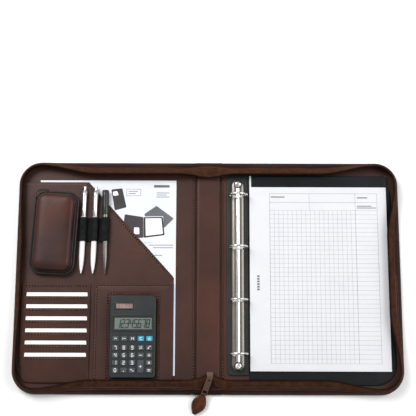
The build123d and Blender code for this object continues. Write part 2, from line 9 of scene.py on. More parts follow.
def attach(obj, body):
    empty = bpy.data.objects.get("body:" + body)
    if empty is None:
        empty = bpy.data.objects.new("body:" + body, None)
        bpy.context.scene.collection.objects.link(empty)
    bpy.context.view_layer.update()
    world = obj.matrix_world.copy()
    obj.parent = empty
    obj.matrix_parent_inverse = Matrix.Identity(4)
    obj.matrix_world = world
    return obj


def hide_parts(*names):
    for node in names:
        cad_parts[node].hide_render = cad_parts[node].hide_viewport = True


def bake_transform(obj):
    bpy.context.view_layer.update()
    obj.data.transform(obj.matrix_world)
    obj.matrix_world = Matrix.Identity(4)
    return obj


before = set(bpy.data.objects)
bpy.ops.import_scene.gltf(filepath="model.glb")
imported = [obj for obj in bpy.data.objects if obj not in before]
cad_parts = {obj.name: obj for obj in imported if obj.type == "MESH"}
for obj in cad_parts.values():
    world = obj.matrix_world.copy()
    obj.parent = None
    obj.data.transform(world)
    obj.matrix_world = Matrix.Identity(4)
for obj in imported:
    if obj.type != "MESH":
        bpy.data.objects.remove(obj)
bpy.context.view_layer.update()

# ---- sizes shared with the frame, mm ----
MM = 0.001
HALF_W = 293.0
HALF_L = 177.0
CORNER_R = 36.0
FOLD_X = 22.0
COVER_START = 24.6
GUSSET_START = 38.0
POCKET_TOP = 7.9
SPINE, FRONT, BACK = "spine", "front_cover", "back_cover"
COVERS = ((-1, "front", FRONT), (1, "back", BACK))
FOLDS = ((-1, "front", (FRONT, SPINE)), (1, "back", (SPINE, BACK)))


def repaint(nodes, material):
    """Give carried-over CAD nodes their material."""
    for node in nodes:
        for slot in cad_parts[node].material_slots:
            slot.material = material


# ---------------------------------------------------------------- materials

def colour(red, green, blue):
    """Linear colour from display values of 0 to 255."""
    linear = []
    for value in (red, green, blue):
        share = value / 255
        linear.append(share / 12.92 if share <= 0.04045 else ((share + 0.055) / 1.055) ** 2.4)
    return (*linear, 1.0)


class Finish:
    """A node material under construction."""

    def __init__(self, name, roughness, metallic=0.0, **shader):
        self.material = bpy.data.materials.new(name)
        self.material.use_nodes = True
        tree = self.material.node_tree
        self.nodes, self.links = tree.nodes, tree.links
        self.shader = self.nodes["Principled BSDF"]
        self.shader.inputs["Roughness"].default_value = roughness
        self.shader.inputs["Metallic"].default_value = metallic
        for socket, value in shader.items():
            self.shader.inputs[socket.replace("_", " ")].default_value = value
        self.place = self.nodes.new("ShaderNodeTexCoord").outputs["Object"]

    def scaled(self, scale):
        mapping = self.nodes.new("ShaderNodeMapping")
        mapping.inputs["Scale"].default_value = scale
        self.links.new(self.place, mapping.inputs["Vector"])
        return mapping.outputs["Vector"]

    def noise(self, scale, detail=3.0, roughness=0.55, vector=None):
        node = self.nodes.new("ShaderNodeTexNoise")
        node.inputs["Scale"].default_value = scale
        node.inputs["Detail"].default_value = detail
        node.inputs["Roughness"].default_value = roughness
        self.links.new(vector or self.place, node.inputs["Vector"])
        return node.outputs["Fac"]

    def cells(self, scale):
        node = self.nodes.new("ShaderNodeTexVoronoi")
        node.inputs["Scale"].default_value = scale
        self.links.new(self.place, node.inputs["Vector"])
        return node.outputs["Distance"]

    def wave(self, scale, direction, distortion):
        node = self.nodes.new("ShaderNodeTexWave")
        node.bands_direction = direction
        node.inputs["Scale"].default_value = scale
        node.inputs["Distortion"].default_value = distortion
        node.inputs["Detail"].default_value = 1.0
        self.links.new(self.place, node.inputs["Vector"])
        return node.outputs["Fac"]

    def ramp(self, factor, stops):
        node = self.nodes.new("ShaderNodeValToRGB")
        ramp = node.color_ramp
        while len(ramp.elements) < len(stops):
            ramp.elements.new(0.5)
        for element, (position, value) in zip(ramp.elements, stops):
            element.position = position
            element.color = value
        self.links.new(factor, node.inputs["Fac"])
        return node.outputs["Color"]

    def blend(self, factor, first, second, mode="MIX"):
        """Mix two colours by a socket or a plain number."""
        node = self.nodes.new("ShaderNodeMix")
        node.data_type = "RGBA"
        node.blend_type = mode
        if isinstance(factor, float):
            node.inputs[0].default_value = factor
        else:
            self.links.new(factor, node.inputs[0])
        self.links.new(first, node.inputs[6])
        self.links.new(second, node.inputs[7])
        return node.outputs[2]

    def range(self, value, low, high):
        node = self.nodes.new("ShaderNodeMapRange")
        node.inputs["To Min"].default_value = low
        node.inputs["To Max"].default_value = high
        self.links.new(value, node.inputs["Value"])
        return node.outputs["Result"]

    def paint(self, socket):
        self.links.new(socket, self.shader.inputs["Base Color"])

    def two_tone(self, scale, detail, light, dark, roughness=0.55):
        """Drift between two display colours."""
        drift = self.noise(scale, detail, roughness)
        self.paint(self.ramp(drift, [(0.3, colour(*dark)), (0.7, colour(*light))]))

    def gloss(self, socket, low, high):
        self.links.new(self.range(socket, low, high), self.shader.inputs["Roughness"])

    def bump(self, heights):
        """Chain bumps given as (height, strength, distance in mm)."""
        last = None
        for height, strength, distance in heights:
            node = self.nodes.new("ShaderNodeBump")
            node.inputs["Strength"].default_value = strength
            node.inputs["Distance"].default_value = distance * MM
            self.links.new(height, node.inputs["Height"])
            if last:
                self.links.new(last, node.inputs["Normal"])
            last = node.outputs["Normal"]
        self.links.new(last, self.shader.inputs["Normal"])
        return self.material


def leather(name, light, base, dark, rough=(0.38, 0.55), grain=0.35, mottle=11.0, pull=None,
            shine=0.22):
    """Grained leather whose colour drifts over the hide; pull is a warm colour of rubbed spots."""
    f = Finish(name, 0.45, Specular_IOR_Level=shine)
    light, base, dark = colour(*light), colour(*base), colour(*dark)
    drift = f.noise(mottle, 5.0, 0.6)
    tone = f.ramp(drift, [(0.3, dark), (0.5, base), (0.72, light)])
    if pull:
        spots = f.ramp(f.noise(mottle * 0.55, 3.0), [(0.5, (0, 0, 0, 1)), (0.7, (1, 1, 1, 1))])
        warm = f.ramp(drift, [(0.2, dark), (0.8, colour(*pull))])
        tone = f.blend(spots, tone, warm)
    pores = f.ramp(f.cells(900.0), [(0.0, (0.62, 0.6, 0.6, 1)), (0.45, (1, 1, 1, 1))])
    f.paint(f.blend(0.55, tone, pores, "MULTIPLY"))
    f.gloss(f.noise(60.0, 4.0), *rough)
    return f.bump([(f.noise(35.0, 3.0), 0.35, 0.9), (f.cells(620.0), grain, 0.25),
                   (f.noise(2400.0, 2.0), grain * 0.6, 0.08)])


def cloth(name, light, dark, pitch=0.9, rough=0.85, direction="DIAGONAL"):
    """Close-woven tape."""
    f = Finish(name, rough, Specular_IOR_Level=0.08)
    threads = f.wave(3.14 / pitch / MM / 6.0, direction, 0.4)
    f.two_tone(140.0, 4.0, light, dark)
    return f.bump([(threads, 0.5, 0.25), (f.noise(1500.0, 2.0), 0.3, 0.12)])


def metal(name, tone, rough):
    """Bright metal with fine drawn streaks in its gloss."""
    f = Finish(name, rough, 1.0)
    deep = tuple(value * 0.9 for value in tone[:3]) + (1,)
    f.paint(f.ramp(f.noise(90.0, 2.0), [(0.3, deep), (0.7, tone)]))
    f.gloss(f.noise(8.0, 3.0, 0.6, f.scaled((300.0, 300.0, 30.0))), rough * 0.7, rough * 1.4)
    return f.bump([(f.noise(700.0, 2.0), 0.012, 0.05)])


def plastic(name, light, dark, rough=0.45, texture=0.2):
    """Moulded plastic with a fine texture."""
    f = Finish(name, rough, Specular_IOR_Level=0.45)
    f.two_tone(60.0, 3.0, light, dark)
    f.gloss(f.noise(220.0, 3.0), rough * 0.85, rough * 1.2)
    return f.bump([(f.noise(1600.0, 2.0), texture, 0.08)])


def paper(name, light, dark):
    """Paper, card or print with a faint fibre."""
    f = Finish(name, 0.8, Specular_IOR_Level=0.2)
    f.two_tone(25.0, 6.0, light, dark, 0.7)
    f.gloss(f.noise(400.0, 3.0), 0.7, 0.9)
    return f.bump([(f.noise(1800.0, 3.0), 0.12, 0.05)])


OUTER = leather("outer_leather", (94, 62, 46), (78, 51, 39), (60, 40, 33),
                (0.32, 0.48), 0.25, 9.0, (106, 66, 42))
RIBBED = leather("ribbed_leather", (118, 78, 38), (94, 60, 30), (72, 46, 26),
                 (0.34, 0.5), 0.2, 16.0)
LINING = leather("lining_leather", (74, 45, 38), (63, 38, 31), (50, 30, 25),
                 (0.4, 0.54), 0.25, 8.0)
SPINE_LINING = leather("spine_lining_leather", (76, 44, 34), (64, 37, 30),
                       (51, 30, 25), (0.38, 0.52), 0.25, 8.0)
WALL = leather("gusset_leather", (54, 30, 25), (40, 21, 18), (25, 13, 12),
               (0.42, 0.58), 0.3, 14.0, shine=0.08)
POUCH = leather("pouch_leather", (66, 38, 30), (54, 31, 25), (38, 23, 19),
                (0.34, 0.46), 0.15, 13.0, (82, 32, 22))
PULL_LEATHER = leather("tab_leather", (86, 43, 19), (58, 28, 15), (30, 15, 9),
                       (0.4, 0.54), 0.3, 75.0)
# rolled knee of the gusset, in leather lighter than the wall's: partly the real roll, partly a painted
# highlight along the knee
ROLL = leather("gusset_roll_painted_highlight", (74, 46, 34), (56, 34, 26), (36, 22, 17),
               (0.34, 0.5), 0.3, 30.0, shine=0.1)
TAPE = cloth("zip_tape", (70, 41, 25), (46, 26, 16))
POUCH_TAPE = cloth("pouch_zip_tape", (56, 45, 38), (38, 31, 27))
ELASTIC = cloth("black_elastic", (34, 36, 35), (20, 22, 22), 1.0, 0.9, "Y")
# painted shade: dark colour of the strips under the lining's stitches, for the shadow in their grooves
SEAM_SHADE = cloth("painted_seam_shade", (44, 27, 23), (30, 18, 15), 0.5)
THREAD_DARK = cloth("lining_thread", (146, 114, 100), (118, 90, 78), 0.4)
THREAD_TAN = cloth("tan_thread", (178, 140, 104), (148, 112, 80), 0.4)
THREAD_BLACK = cloth("black_thread", (48, 50, 48), (30, 32, 30), 0.4)
PIPING = plastic("black_piping", (30, 29, 29), (16, 16, 17), 0.38)
LEATHERETTE = leather("black_leatherette", (24, 28, 29), (15, 18, 19),
                      (9, 11, 12), (0.24, 0.36), 0.2, 10.0)
PLATE = leather("ring_plate_leatherette", (52, 57, 54), (42, 46, 44),
                (33, 37, 36), (0.4, 0.52), 0.4, 12.0)
CHROME = metal("polished_steel", (0.8, 0.8, 0.77, 1), 0.16)
# painted shade: a dark copy of the rail's steel for its flanks, which look darker than the crown
SHADED_FLANK_STEEL = metal("flank_steel_painted_shade", (0.2, 0.185, 0.16, 1), 0.34)
BRONZE = metal("bronzed_zinc", colour(120, 96, 85), 0.36)
# zip coil with its colour darkened: partly the coil's own colour, partly painted shade at the tape's
# inner edge
COIL_AND_SHADE = cloth("zip_coil_and_shade", (34, 22, 17), (22, 14, 11), 0.6)
SILVER = metal("satin_silver", (0.58, 0.59, 0.6, 1), 0.3)
GUNMETAL = metal("gunmetal", colour(120, 118, 114), 0.3)
WHITE_BARREL = plastic("white_barrel", (238, 239, 240), (224, 226, 228), 0.22, 0.05)
BLACK_CAP = plastic("black_cap", (30, 31, 33), (18, 19, 20), 0.3, 0.1)
PAPER = paper("notepad_paper", (217, 218, 221), (211, 212, 217))
LEAFLET = paper("leaflet_paper", (222, 224, 229), (213, 217, 224))
CARD = paper("card_paper", (250, 249, 247), (240, 239, 236))
EDGES = paper("page_edges", (228, 230, 232), (204, 206, 210))
BOARD = paper("grey_board", (128, 120, 108), (104, 97, 88))
PALE_INK = paper("pale_ink", (140, 142, 148), (124, 126, 134))
DARK_INK = paper("dark_ink", (74, 70, 72), (56, 53, 56))
GREY_INK = paper("grey_ink", (112, 114, 118), (88, 90, 94))
BLUE_INK = paper("pale_blue_ink", (198, 216, 234), (178, 202, 226))
CASE_PLASTIC = plastic("calculator_plastic", (26, 34, 34), (18, 24, 24), 0.4, 0.3)
KEY_GREY = plastic("key_grey", (66, 70, 72), (52, 56, 58), 0.5, 0.15)
KEY_BLUE = plastic("key_blue", (24, 150, 178), (16, 132, 162), 0.42, 0.15)
LEGEND = paper("key_legend", (236, 240, 240), (220, 226, 226))
DISPLAY = plastic("display_glass", (102, 114, 107), (90, 101, 96), 0.3, 0.02)
SEGMENT = plastic("display_segment", (26, 30, 28), (18, 20, 19), 0.4, 0.02)
SOLAR = plastic("solar_cell", (150, 126, 120), (116, 96, 92), 0.2, 0.02)


# ------------------------------------------------------------------- meshes

def make(name, verts, faces, material, body=None, slot=None, angle=40.0):
    """Mesh object from points in mm, smooth below an edge angle, riding on a body."""
    mesh = bpy.data.meshes.new(name)
    mesh.from_pydata([Vector(v) * MM for v in verts], [], faces)
    work = bmesh.new()
    work.from_mesh(mesh)
    bmesh.ops.recalc_face_normals(work, faces=work.faces)
    work.to_mesh(mesh)
    work.free()
    mesh.shade_smooth()
    mesh.set_sharp_from_angle(angle=math.radians(angle))
    mesh.materials.append(material)
    piece = bpy.data.objects.new(name, mesh)
    bpy.context.collection.objects.link(piece)
    if body:
        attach(piece, body)
    return piece


def strip_faces(rows, columns, first=0, wrap=False):
    """Quads over a grid of points stored row by row."""
    faces = []
    for row in range(rows - 1):
        for column in range(columns if wrap else columns - 1):
            a = first + row * columns + column
            b = first + row * columns + (column + 1) % columns
            faces.append((a, b, b + columns, a + columns))
    return faces


def swept(sections):
    """Closed mesh data from a list of closed sections with equal counts."""
    count = len(sections[0])
    verts = [point for section in sections for point in section]
    faces = strip_faces(len(sections), count, 0, True)
    faces.append(tuple(range(count))[::-1])
    faces.append(tuple(len(verts) - count + index for index in range(count)))
    return verts, faces


def hoop(loops):
    """Mesh data of closed loops joined in order, the last one to the first."""
    count = len(loops[0])
    verts = [point for loop in loops for point in loop]
    faces = strip_faces(len(loops), count, 0, True)
    last = (len(loops) - 1) * count
    faces += [(last + k, last + (k + 1) % count, (k + 1) % count, k) for k in range(count)]
    return verts, faces


def rounded(corners, radii, steps=8):
    """Polygon through corners, each rounded to its radius, anticlockwise."""
    outline = []
    count = len(corners)
    for index, corner in enumerate(corners):
        here = Vector(corner)
        before = (Vector(corners[index - 1]) - here).normalized()
        after = (Vector(corners[(index + 1) % count]) - here).normalized()
        radius = radii[index] if isinstance(radii, (list, tuple)) else radii
        if radius <= 0:
            outline.append(tuple(here))
            continue
        half = before.angle(after) / 2
        reach = radius / math.tan(half)
        centre = here + (before + after).normalized() * (radius / math.sin(half))
        start = here + before * reach - centre
        end = here + after * reach - centre
        first = math.atan2(start.y, start.x)
        turn = (math.atan2(end.y, end.x) - first + math.pi) % (2 * math.pi) - math.pi
        for step in range(steps + 1):
            at = first + turn * step / steps
            outline.append((centre.x + radius * math.cos(at), centre.y + radius * math.sin(at)))
    return outline


def box_outline(x0, x1, y0, y1, radii=0.0, steps=8):
    """Rectangle with corners in the order low-low, high-low, high-high, low-high."""
    return rounded([(x0, y0), (x1, y0), (x1, y1), (x0, y1)], radii, steps)


def cover_outline(side, start, inset=0.0):
    """Cover outline: side is 1 for the back cover and -1 for the front."""
    far, top, radius = HALF_W - inset, HALF_L - inset, CORNER_R - inset
    if side > 0:
        return box_outline(start, far, -top, top, [0, radius, radius, 0], 14)
    return box_outline(-far, -start, -top, top, [radius, 0, 0, radius], 14)


def edge_distance(points, outline):
    """Distance from each point to the outline."""
    best = np.full(len(points), 1e9)
    ring = np.array(outline)
    for a, b in zip(ring, np.roll(ring, -1, axis=0)):
        along = b - a
        length = max(float(along @ along), 1e-9)
        t = np.clip(((points - a) @ along) / length, 0, 1)
        best = np.minimum(best, np.linalg.norm(points - a - t[:, None] * along, axis=1))
    return best


def spread(low, high, count, edge):
    """Positions that crowd towards both ends, where an edge rolls over."""
    inner = np.linspace(low + edge, high - edge, count)
    ease = edge * (1 - np.cos(np.linspace(0, math.pi / 2, 7)))[:-1]
    return np.concatenate([low + ease, inner, high - ease[::-1]])


def panel(name, outline, low, top, material, body=None, slot=None, size=(50, 50), edge=2.0,
          rows=None):
    """Soft slab over an outline; low and top give heights from x, y and edge distance."""
    ring = np.array(outline)
    x_low, y_low = ring.min(axis=0)
    x_high, y_high = ring.max(axis=0)
    ys = spread(y_low, y_high, size[1], edge) if rows is None else np.array(rows)
    ys = np.clip(ys, y_low + 1e-4, y_high - 1e-4)
    share = spread(0.0, 1.0, size[0], edge / (x_high - x_low))
    grid = []
    for y in ys:
        hits = []
        for a, b in zip(ring, np.roll(ring, -1, axis=0)):
            if (a[1] - y) * (b[1] - y) <= 0 and a[1] != b[1]:
                hits.append(a[0] + (b[0] - a[0]) * (y - a[1]) / (b[1] - a[1]))
        left, right = min(hits), max(hits)
        grid.extend((left + (right - left) * t, y) for t in share)
    grid = np.array(grid)
    distance = edge_distance(grid, outline)
    tops = top(grid[:, 0], grid[:, 1], distance)
    lows = np.minimum(low(grid[:, 0], grid[:, 1], distance), tops - 0.05)
    verts = [(x, y, z) for (x, y), z in zip(grid, tops)]
    verts += [(x, y, z) for (x, y), z in zip(grid, lows)]
    columns, count = len(share), len(grid)
    faces = strip_faces(len(ys), columns)
    faces += [face[::-1] for face in strip_faces(len(ys), columns, count)]
    border = list(range(columns))
    border += [row * columns + columns - 1 for row in range(1, len(ys))]
    border += list(range(count - 2, count - columns - 1, -1))
    border += [row * columns for row in range(len(ys) - 2, 0, -1)]
    for a, b in zip(border, border[1:] + border[:1]):
        faces.append((b, a, a + count, b + count))
    return make(name, verts, faces, material, body, slot, 60.0)


def turned(d, radius):
    """1 at an edge, falling to 0 in a quarter-round as the distance d reaches the radius."""
    return 1 - np.sqrt(1 - (1 - np.clip(d / radius, 0, 1)) ** 2)


def rolled(low, high, radius=1.0, rise=None):
    """Height function: a slab's face at `high` whose edge rolls down over `radius`."""
    def height(x, y, d):
        base = high - 0.65 * (high - low) * turned(d, radius)
        return base + (rise(x, y, d) if rise else 0)
    return height


def flat(z):
    """Height function of a level face."""
    return lambda x, y, d: np.full(len(x), float(z))


def ripple(x, y, size=60.0, seed=0.0):
    """Slow hand-made unevenness between about -1 and 1."""
    a = np.sin(x / size + 1.3 * seed) * np.cos(y / size * 0.83 + seed)
    b = np.sin(x / size * 2.1 + y / size * 1.7 + 2.1 * seed)
    return 0.6 * a + 0.4 * b


def groove(value, centre, width):
    """1 at the centre line of a pressed or sewn channel, fading to 0 beside it."""
    return np.exp(-((value - centre) / width) ** 2)


def resample(points, pitch):
    """Even steps along a polyline: positions and directions."""
    path = [Vector(point) for point in points]
    lengths = [0.0]
    for a, b in zip(path, path[1:]):
        lengths.append(lengths[-1] + (b - a).length)
    count = max(int(lengths[-1] / pitch), 1)
    places = []
    segment = 0
    for index in range(count):
        at = (index + 0.5) * lengths[-1] / count
        while lengths[segment + 1] < at:
            segment += 1
        a, b = path[segment], path[segment + 1]
        share = (at - lengths[segment]) / max((b - a).length, 1e-9)
        places.append((a.lerp(b, share), (b - a).normalized()))
    return places


def stitch_bead(centre, along, length, width, height, up):
    """Points of one stitch: a tip, three six-sided sections and a tip."""
    across = along.cross(Vector((0, 0, 1))).normalized()
    points = [centre - along * length / 2]
    for step, share in ((-0.32, 0.8), (0.0, 1.0), (0.32, 0.8)):
        for corner in range(6):
            turn = math.radians(60 * corner)
            points.append(centre + along * length * step
                          + across * (width / 2 * share * math.cos(turn))
                          + Vector((0, 0, up)) * (height / 2 * share * math.sin(turn)))
    return points + [centre + along * length / 2]


def bead_faces(base):
    """Faces of one stitch whose first point has the number base."""
    faces = []
    for corner in range(6):
        after = (corner + 1) % 6
        faces.append((base, base + 1 + after, base + 1 + corner))
        for ring in (1, 7):
            faces.append((base + ring + corner, base + ring + after,
                          base + ring + 6 + after, base + ring + 6 + corner))
        faces.append((base + 19, base + 13 + corner, base + 13 + after))
    return faces


def shade_strip(centre, along, pitch, up):
    """Corners of the strip of painted shade under one stitch of the lining, where its groove is shadowed.
    """
    across = along.cross(Vector((0, 0, 1))).normalized() * 1.25
    half = along * pitch / 2
    low = centre + Vector((0, 0, 0.06 * up))
    return [low - half - across, low - half + across, low + half + across, low + half - across]


def stitches(name, runs, thread, body=None, slot=None, pitch=4.4, length=2.7, width=1.0,
             height=0.6, up=1):
    """Sewn thread: one small bead per stitch along each run of (x, y, z) points.

    The lining's thread also lies on a strip of painted shade, dark colour for the shadow in the groove
    that it pulls in."""
    places = [place for run in runs for place in resample(run, pitch)]
    verts, faces = [], []
    for centre, along in places:
        faces += bead_faces(len(verts))
        verts += stitch_bead(centre, along, length, width, height, up)
    beads = len(faces)
    if thread is THREAD_DARK:
        for centre, along in places:
            faces.append(tuple(range(len(verts), len(verts) + 4)))
            verts += shade_strip(centre, along, pitch, up)
    piece = make(name, verts, faces, thread, body, slot, 80.0)
    if len(faces) > beads:
        piece.data.materials.append(SEAM_SHADE)
        for face in piece.data.polygons[beads:]:
            face.material_index = 1
            if face.normal.z * up < 0:
                face.flip()
    return piece


def cord_mesh(name, points, radius, material, body=None, slot=None, closed=False):
    """Round piping along points."""
    path = [Vector(point) for point in points]
    turns = [2 * math.pi * k / 8 for k in range(8)]
    sections = []
    count = len(path)
    for index, point in enumerate(path):
        before = path[index - 1] if closed or index else path[0]
        after = path[(index + 1) % count] if closed or index < count - 1 else path[-1]
        along = (after - before).normalized()
        across = along.cross(Vector((0, 0, 1))).normalized()
        rise = across.cross(along)
        sections.append([point + (across * math.cos(turn) + rise * math.sin(turn)) * radius
                         for turn in turns])
    data = hoop(sections) if closed else swept(sections)
    return make(name, *data, material, body, slot, 70.0)


def stacked(name, rings, material, body=None, slot=None, angle=50.0):
    """Closed form from rings of equal count, capped at both ends."""
    return make(name, *swept(rings), material, body, slot, angle)


def line_at(points, z):
    """Flat points lifted to one height."""
    return [(x, y, z) for x, y in points]


def join(name, pieces):
    """Join meshes that share one body into one object."""
    with bpy.context.temp_override(active_object=pieces[0], selected_editable_objects=pieces):
        bpy.ops.object.join()
    pieces[0].name = name
    return pieces[0]


# ------------------------------------------------------------ cover leather

SEAM_Z = 0.3      # height of the stitches on a cover's turned edge
RIB_SEAM_X = -76.2


def outside_seam(name, runs, body):
    """Tan stitches on an outside face, which looks down."""
    stitches(name, runs, THREAD_TAN, body, "outer_leather", up=-1)


def perimeter_run(side, inset, start, z):
    """Line round a cover's three free edges, open towards the spine."""
    outline = cover_outline(side, start, inset)
    if side > 0:
        return line_at(outline, z)
    split = max(range(len(outline)), key=lambda i: (outline[i][0], outline[i][1]))
    return line_at(outline[split:] + outline[:split], z)


def padded_low(x, y, d):
    """Outside face of a cover: rolled edge, then a gently padded field."""
    roll = 1.1 * turned(d, 1.6)
    return roll + 0.25 * groove(d, 4.0, 0.9) + 0.25 * groove(d, 7.6, 0.9) + 0.12


back_skin = panel("back_cover_leather", cover_outline(1, COVER_START), padded_low,
                  rolled(0.6, 3.2, 1.4), OUTER, BACK, "outer_leather", (60, 70), 3.0)
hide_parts("back_outer_leather")
outside_seam("back_cover_stitches",
             [perimeter_run(1, inset, COVER_START + 1, SEAM_Z) for inset in (4.0, 7.6)], BACK)

SEAM_X = (-246.0, -234.5)      # the two seams of the outer pocket's mouth


def front_low(x, y, d):
    """Outside of the front cover: turned edge, recessed field, pocket mouth seams."""
    roll = 1.1 * turned(d, 1.6)
    step = 1.45 / (1 + np.exp(-(d - 8.6) * 2.2))
    seams = sum(0.35 * groove(x, seam, 0.8) for seam in SEAM_X)
    mouth = 0.5 * groove(x, SEAM_X[1] + 4.5, 0.7)
    uneven = 0.1 * ripple(x, y, 55.0) * (d > 12)
    return roll + step + 0.2 * groove(d, 4.0, 0.9) + seams + mouth + uneven


front_skin = panel("front_cover_leather", cover_outline(-1, COVER_START), front_low,
                   rolled(0.6, 3.2, 1.4), OUTER, FRONT, "outer_leather", (110, 80), 3.0)
edge_line = [perimeter_run(-1, 4.0, COVER_START + 1, SEAM_Z)]
seam_lines = [[(x, -164.0, 1.75), (x, 164.0, 1.75)] for x in (SEAM_X[0] - 1.4, SEAM_X[1] + 1.4)]
outside_seam("front_cover_stitches", edge_line + seam_lines, FRONT)


def rib_low(x, y, d):
    """Pressed ribs that run across the panel and bend down towards the spine."""
    share = np.clip((x + 79.0) / 54.0, 0, 1)
    phase = (y + 7.0 * share ** 2.2) / 3.5
    ridge = np.abs((phase % 1.0) - 0.5) * 2
    depth = 0.75 * np.clip(ridge * 2.6 - 1.55, 0, 1)
    fade = np.clip((share - 0.1) * 6, 0, 1) * np.clip((150.0 - np.abs(y)) / 8.0, 0, 1)
    roll = 0.8 * turned(d, 1.2)
    return depth * fade + roll + 0.3 * groove(x, RIB_SEAM_X, 0.8)


rib_rows = np.concatenate([[-165, -164.6, -164], np.arange(-163.5, 163.6, 0.5), [164, 164.6, 165]])
ribbed = panel("ribbed_panel", box_outline(-79.0, -25.2, -165.0, 165.0), rib_low, flat(1.7),
               RIBBED, FRONT, "outer_leather", (26, 50), 1.6, rows=rib_rows)
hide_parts("front_outer_leather")
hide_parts("ribbed_panel")
outside_seam("ribbed_panel_stitches", [[(RIB_SEAM_X, -163.0, 0.25), (RIB_SEAM_X, 163.0, 0.25)]], FRONT)

spine_skin = panel("spine_leather_cover", box_outline(-21.4, 21.4, -HALF_L, HALF_L),
                   lambda x, y, d: 1.1 * turned(HALF_L - np.abs(y), 1.6) + 0.05,
                   flat(3.1), OUTER, SPINE, "outer_leather", (18, 60), 2.5)
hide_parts("spine_leather")
outside_seam("spine_stitches",
             [[(-20.0, y, 0.25), (20.0, y, 0.25)] for y in (-173.0, -169.4, 169.4, 173.0)], SPINE)


def fold_blend(piece):
    """Bake a piece's transform into its mesh; it is not bent over the fold line."""
    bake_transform(piece)


def across_fold(name, x0, x1, bodies, centre, low, top, half_length, material, slot,
                reach=3.0, steps=26):
    """Strip over a fold line; bodies, the two bodies from lower to higher x, is not used."""
    xs = np.linspace(x0, x1, steps)
    sections = []
    for y in np.linspace(-half_length, half_length, 40):
        sections.append([(x, y, top(x)) for x in xs] + [(x, y, low(x)) for x in xs[::-1]])
    piece = make(name, *swept(sections), material, None, slot, 70.0)
    fold_blend(piece)


for side, name, bodies in FOLDS:
    fold = side * FOLD_X
    across_fold(f"{name}_fold_leather", fold - 4.4, fold + 4.4, bodies, fold,
                lambda x: 0.25, lambda x: 1.5, HALF_L - 1.0, OUTER, "outer_leather")

# ------------------------------------------------------------------ linings

LINING_LOW, LINING_TOP = 5.0, 6.0


def lining_top(x, y, d):
    """Face of a cover's lining, turned down at its edge."""
    return LINING_TOP - turned(d, 1.2) + 0.03 * ripple(x, y, 40.0, 2.0)


def spine_lining_top(x, y, d):
    """Face of the spine's lining, which falls off towards both folds."""
    return 5.95 - 0.5 * np.clip((np.abs(x) - 13) / 3.4, 0, 1) ** 2


for side, name, body in COVERS:
    lining = panel(f"{name}_lining_leather", cover_outline(side, COVER_START, 5.0), flat(LINING_LOW),
                   lining_top, LINING, body, "lining_leather", (50, 60), 2.0)
    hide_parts(f"{name}_lining")
spine_lining = panel("spine_lining_leather", box_outline(-16.4, 16.4, -172.0, 172.0),
                     flat(LINING_LOW), spine_lining_top, SPINE_LINING, SPINE, "lining_leather",
                     (18, 50), 2.0)
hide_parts("spine_lining")


def valley(x):
    """Height of the lining where it dips into a fold."""
    share = (abs(x) - 16.0) / 9.0
    return 5.5 + 0.5 * share - 2.6 * math.exp(-((abs(x) - 18.8) / 1.3) ** 2)


for side, name, bodies in FOLDS:
    fold = side * FOLD_X
    ends = sorted((side * 16.1, side * 25.0))
    across_fold(f"{name}_fold_lining", *ends, bodies, fold, lambda x: valley(x) - 0.9, valley,
                171.5, LINING, "lining_leather", 3.5, 36)
    at = side * 22.2
    run = stitches(f"{name}_fold_stitches", [[(at, -170.0, 5.85), (at, 170.0, 5.85)]],
                   THREAD_DARK, None, "lining_leather")
    fold_blend(run)

repaint(("front_board", "back_board", "spine_board"), BOARD)

# ------------------------------------------------------------ gusset and zip

CORNER_REACH = 85.0      # how far along a side its corners pull the gusset upright
LEFT_SIDE_LEAN = 0.3     # the left side's gusset stands more upright than the others


def u_path(side):
    """Points round a cover's three free sides with outward directions and corner weight."""
    straight, arc = HALF_L - CORNER_R, CORNER_R
    centre_x = HALF_W - arc
    places = []

    def bend(first, centre_y):
        for turn in np.linspace(first, first + 90, 16):
            c, s = math.cos(math.radians(turn)), math.sin(math.radians(turn))
            places.append((centre_x + arc * c, centre_y + arc * s, c, s))

    ends = np.arange(GUSSET_START, centre_x, 6.0)
    places += [(x, -HALF_L, 0.0, -1.0) for x in ends]
    bend(-90, -straight)
    places += [(HALF_W, y, 1.0, 0.0) for y in np.arange(-straight + 6.0, straight - 3.0, 6.0)]
    bend(0, straight)
    places += [(x, HALF_L, 0.0, 1.0) for x in ends[::-1]]
    result = []
    for x, y, nx, ny in places:
        on_side = x >= HALF_W - 1e-6
        away = max(straight - abs(y), 0.0) if on_side else max(centre_x - x, 0.0)
        share = min(away / CORNER_REACH, 1.0)
        if side < 0 and on_side:
            share *= LEFT_SIDE_LEAN
        corner = 1 - share * share * (3 - 2 * share)
        result.append((side * x, y, side * nx, ny, corner))
    return result


def knee(corner, y):
    """Top edge of the gusset wall, as distance inside the outline and height."""
    top = 10.6 if y > 0 else 7.4
    return (top * (1 - corner) + 3.2 * corner, 11.0 + 0.8 * corner)


def lip(corner):
    """Free edge of the zip tape, in the same terms."""
    return (20.4 * (1 - corner) + 7.4 * corner, 20.9 + 0.2 * corner)


def lifted(places, section):
    """Sections at each place from (distance inside the outline, height) pairs."""
    sections = []
    for x, y, nx, ny, corner in places:
        sections.append([(x - nx * u, y - ny * u, z) for u, z in section(corner, y, x)])
    return sections


def run_along(places, spot):
    """Line through one (distance, height) spot at each place."""
    return [section[0] for section in lifted(places, lambda corner, y, x: [spot(corner, y)])]


def wall_ring(u, z, wave=0.0):
    """Section of the gusset wall up to its top edge at u, z."""
    return [(0.5, 3.1), (2.1, 3.1), (u * 0.55 + 1.9, z * 0.62 + 1.2 + wave), (u + 1.5, z - 0.5),
            (u + 1.1, z + 0.3), (u + 0.2, z + 0.3), (u * 0.42 + 0.1, z * 0.62 + 1.7 + wave)]


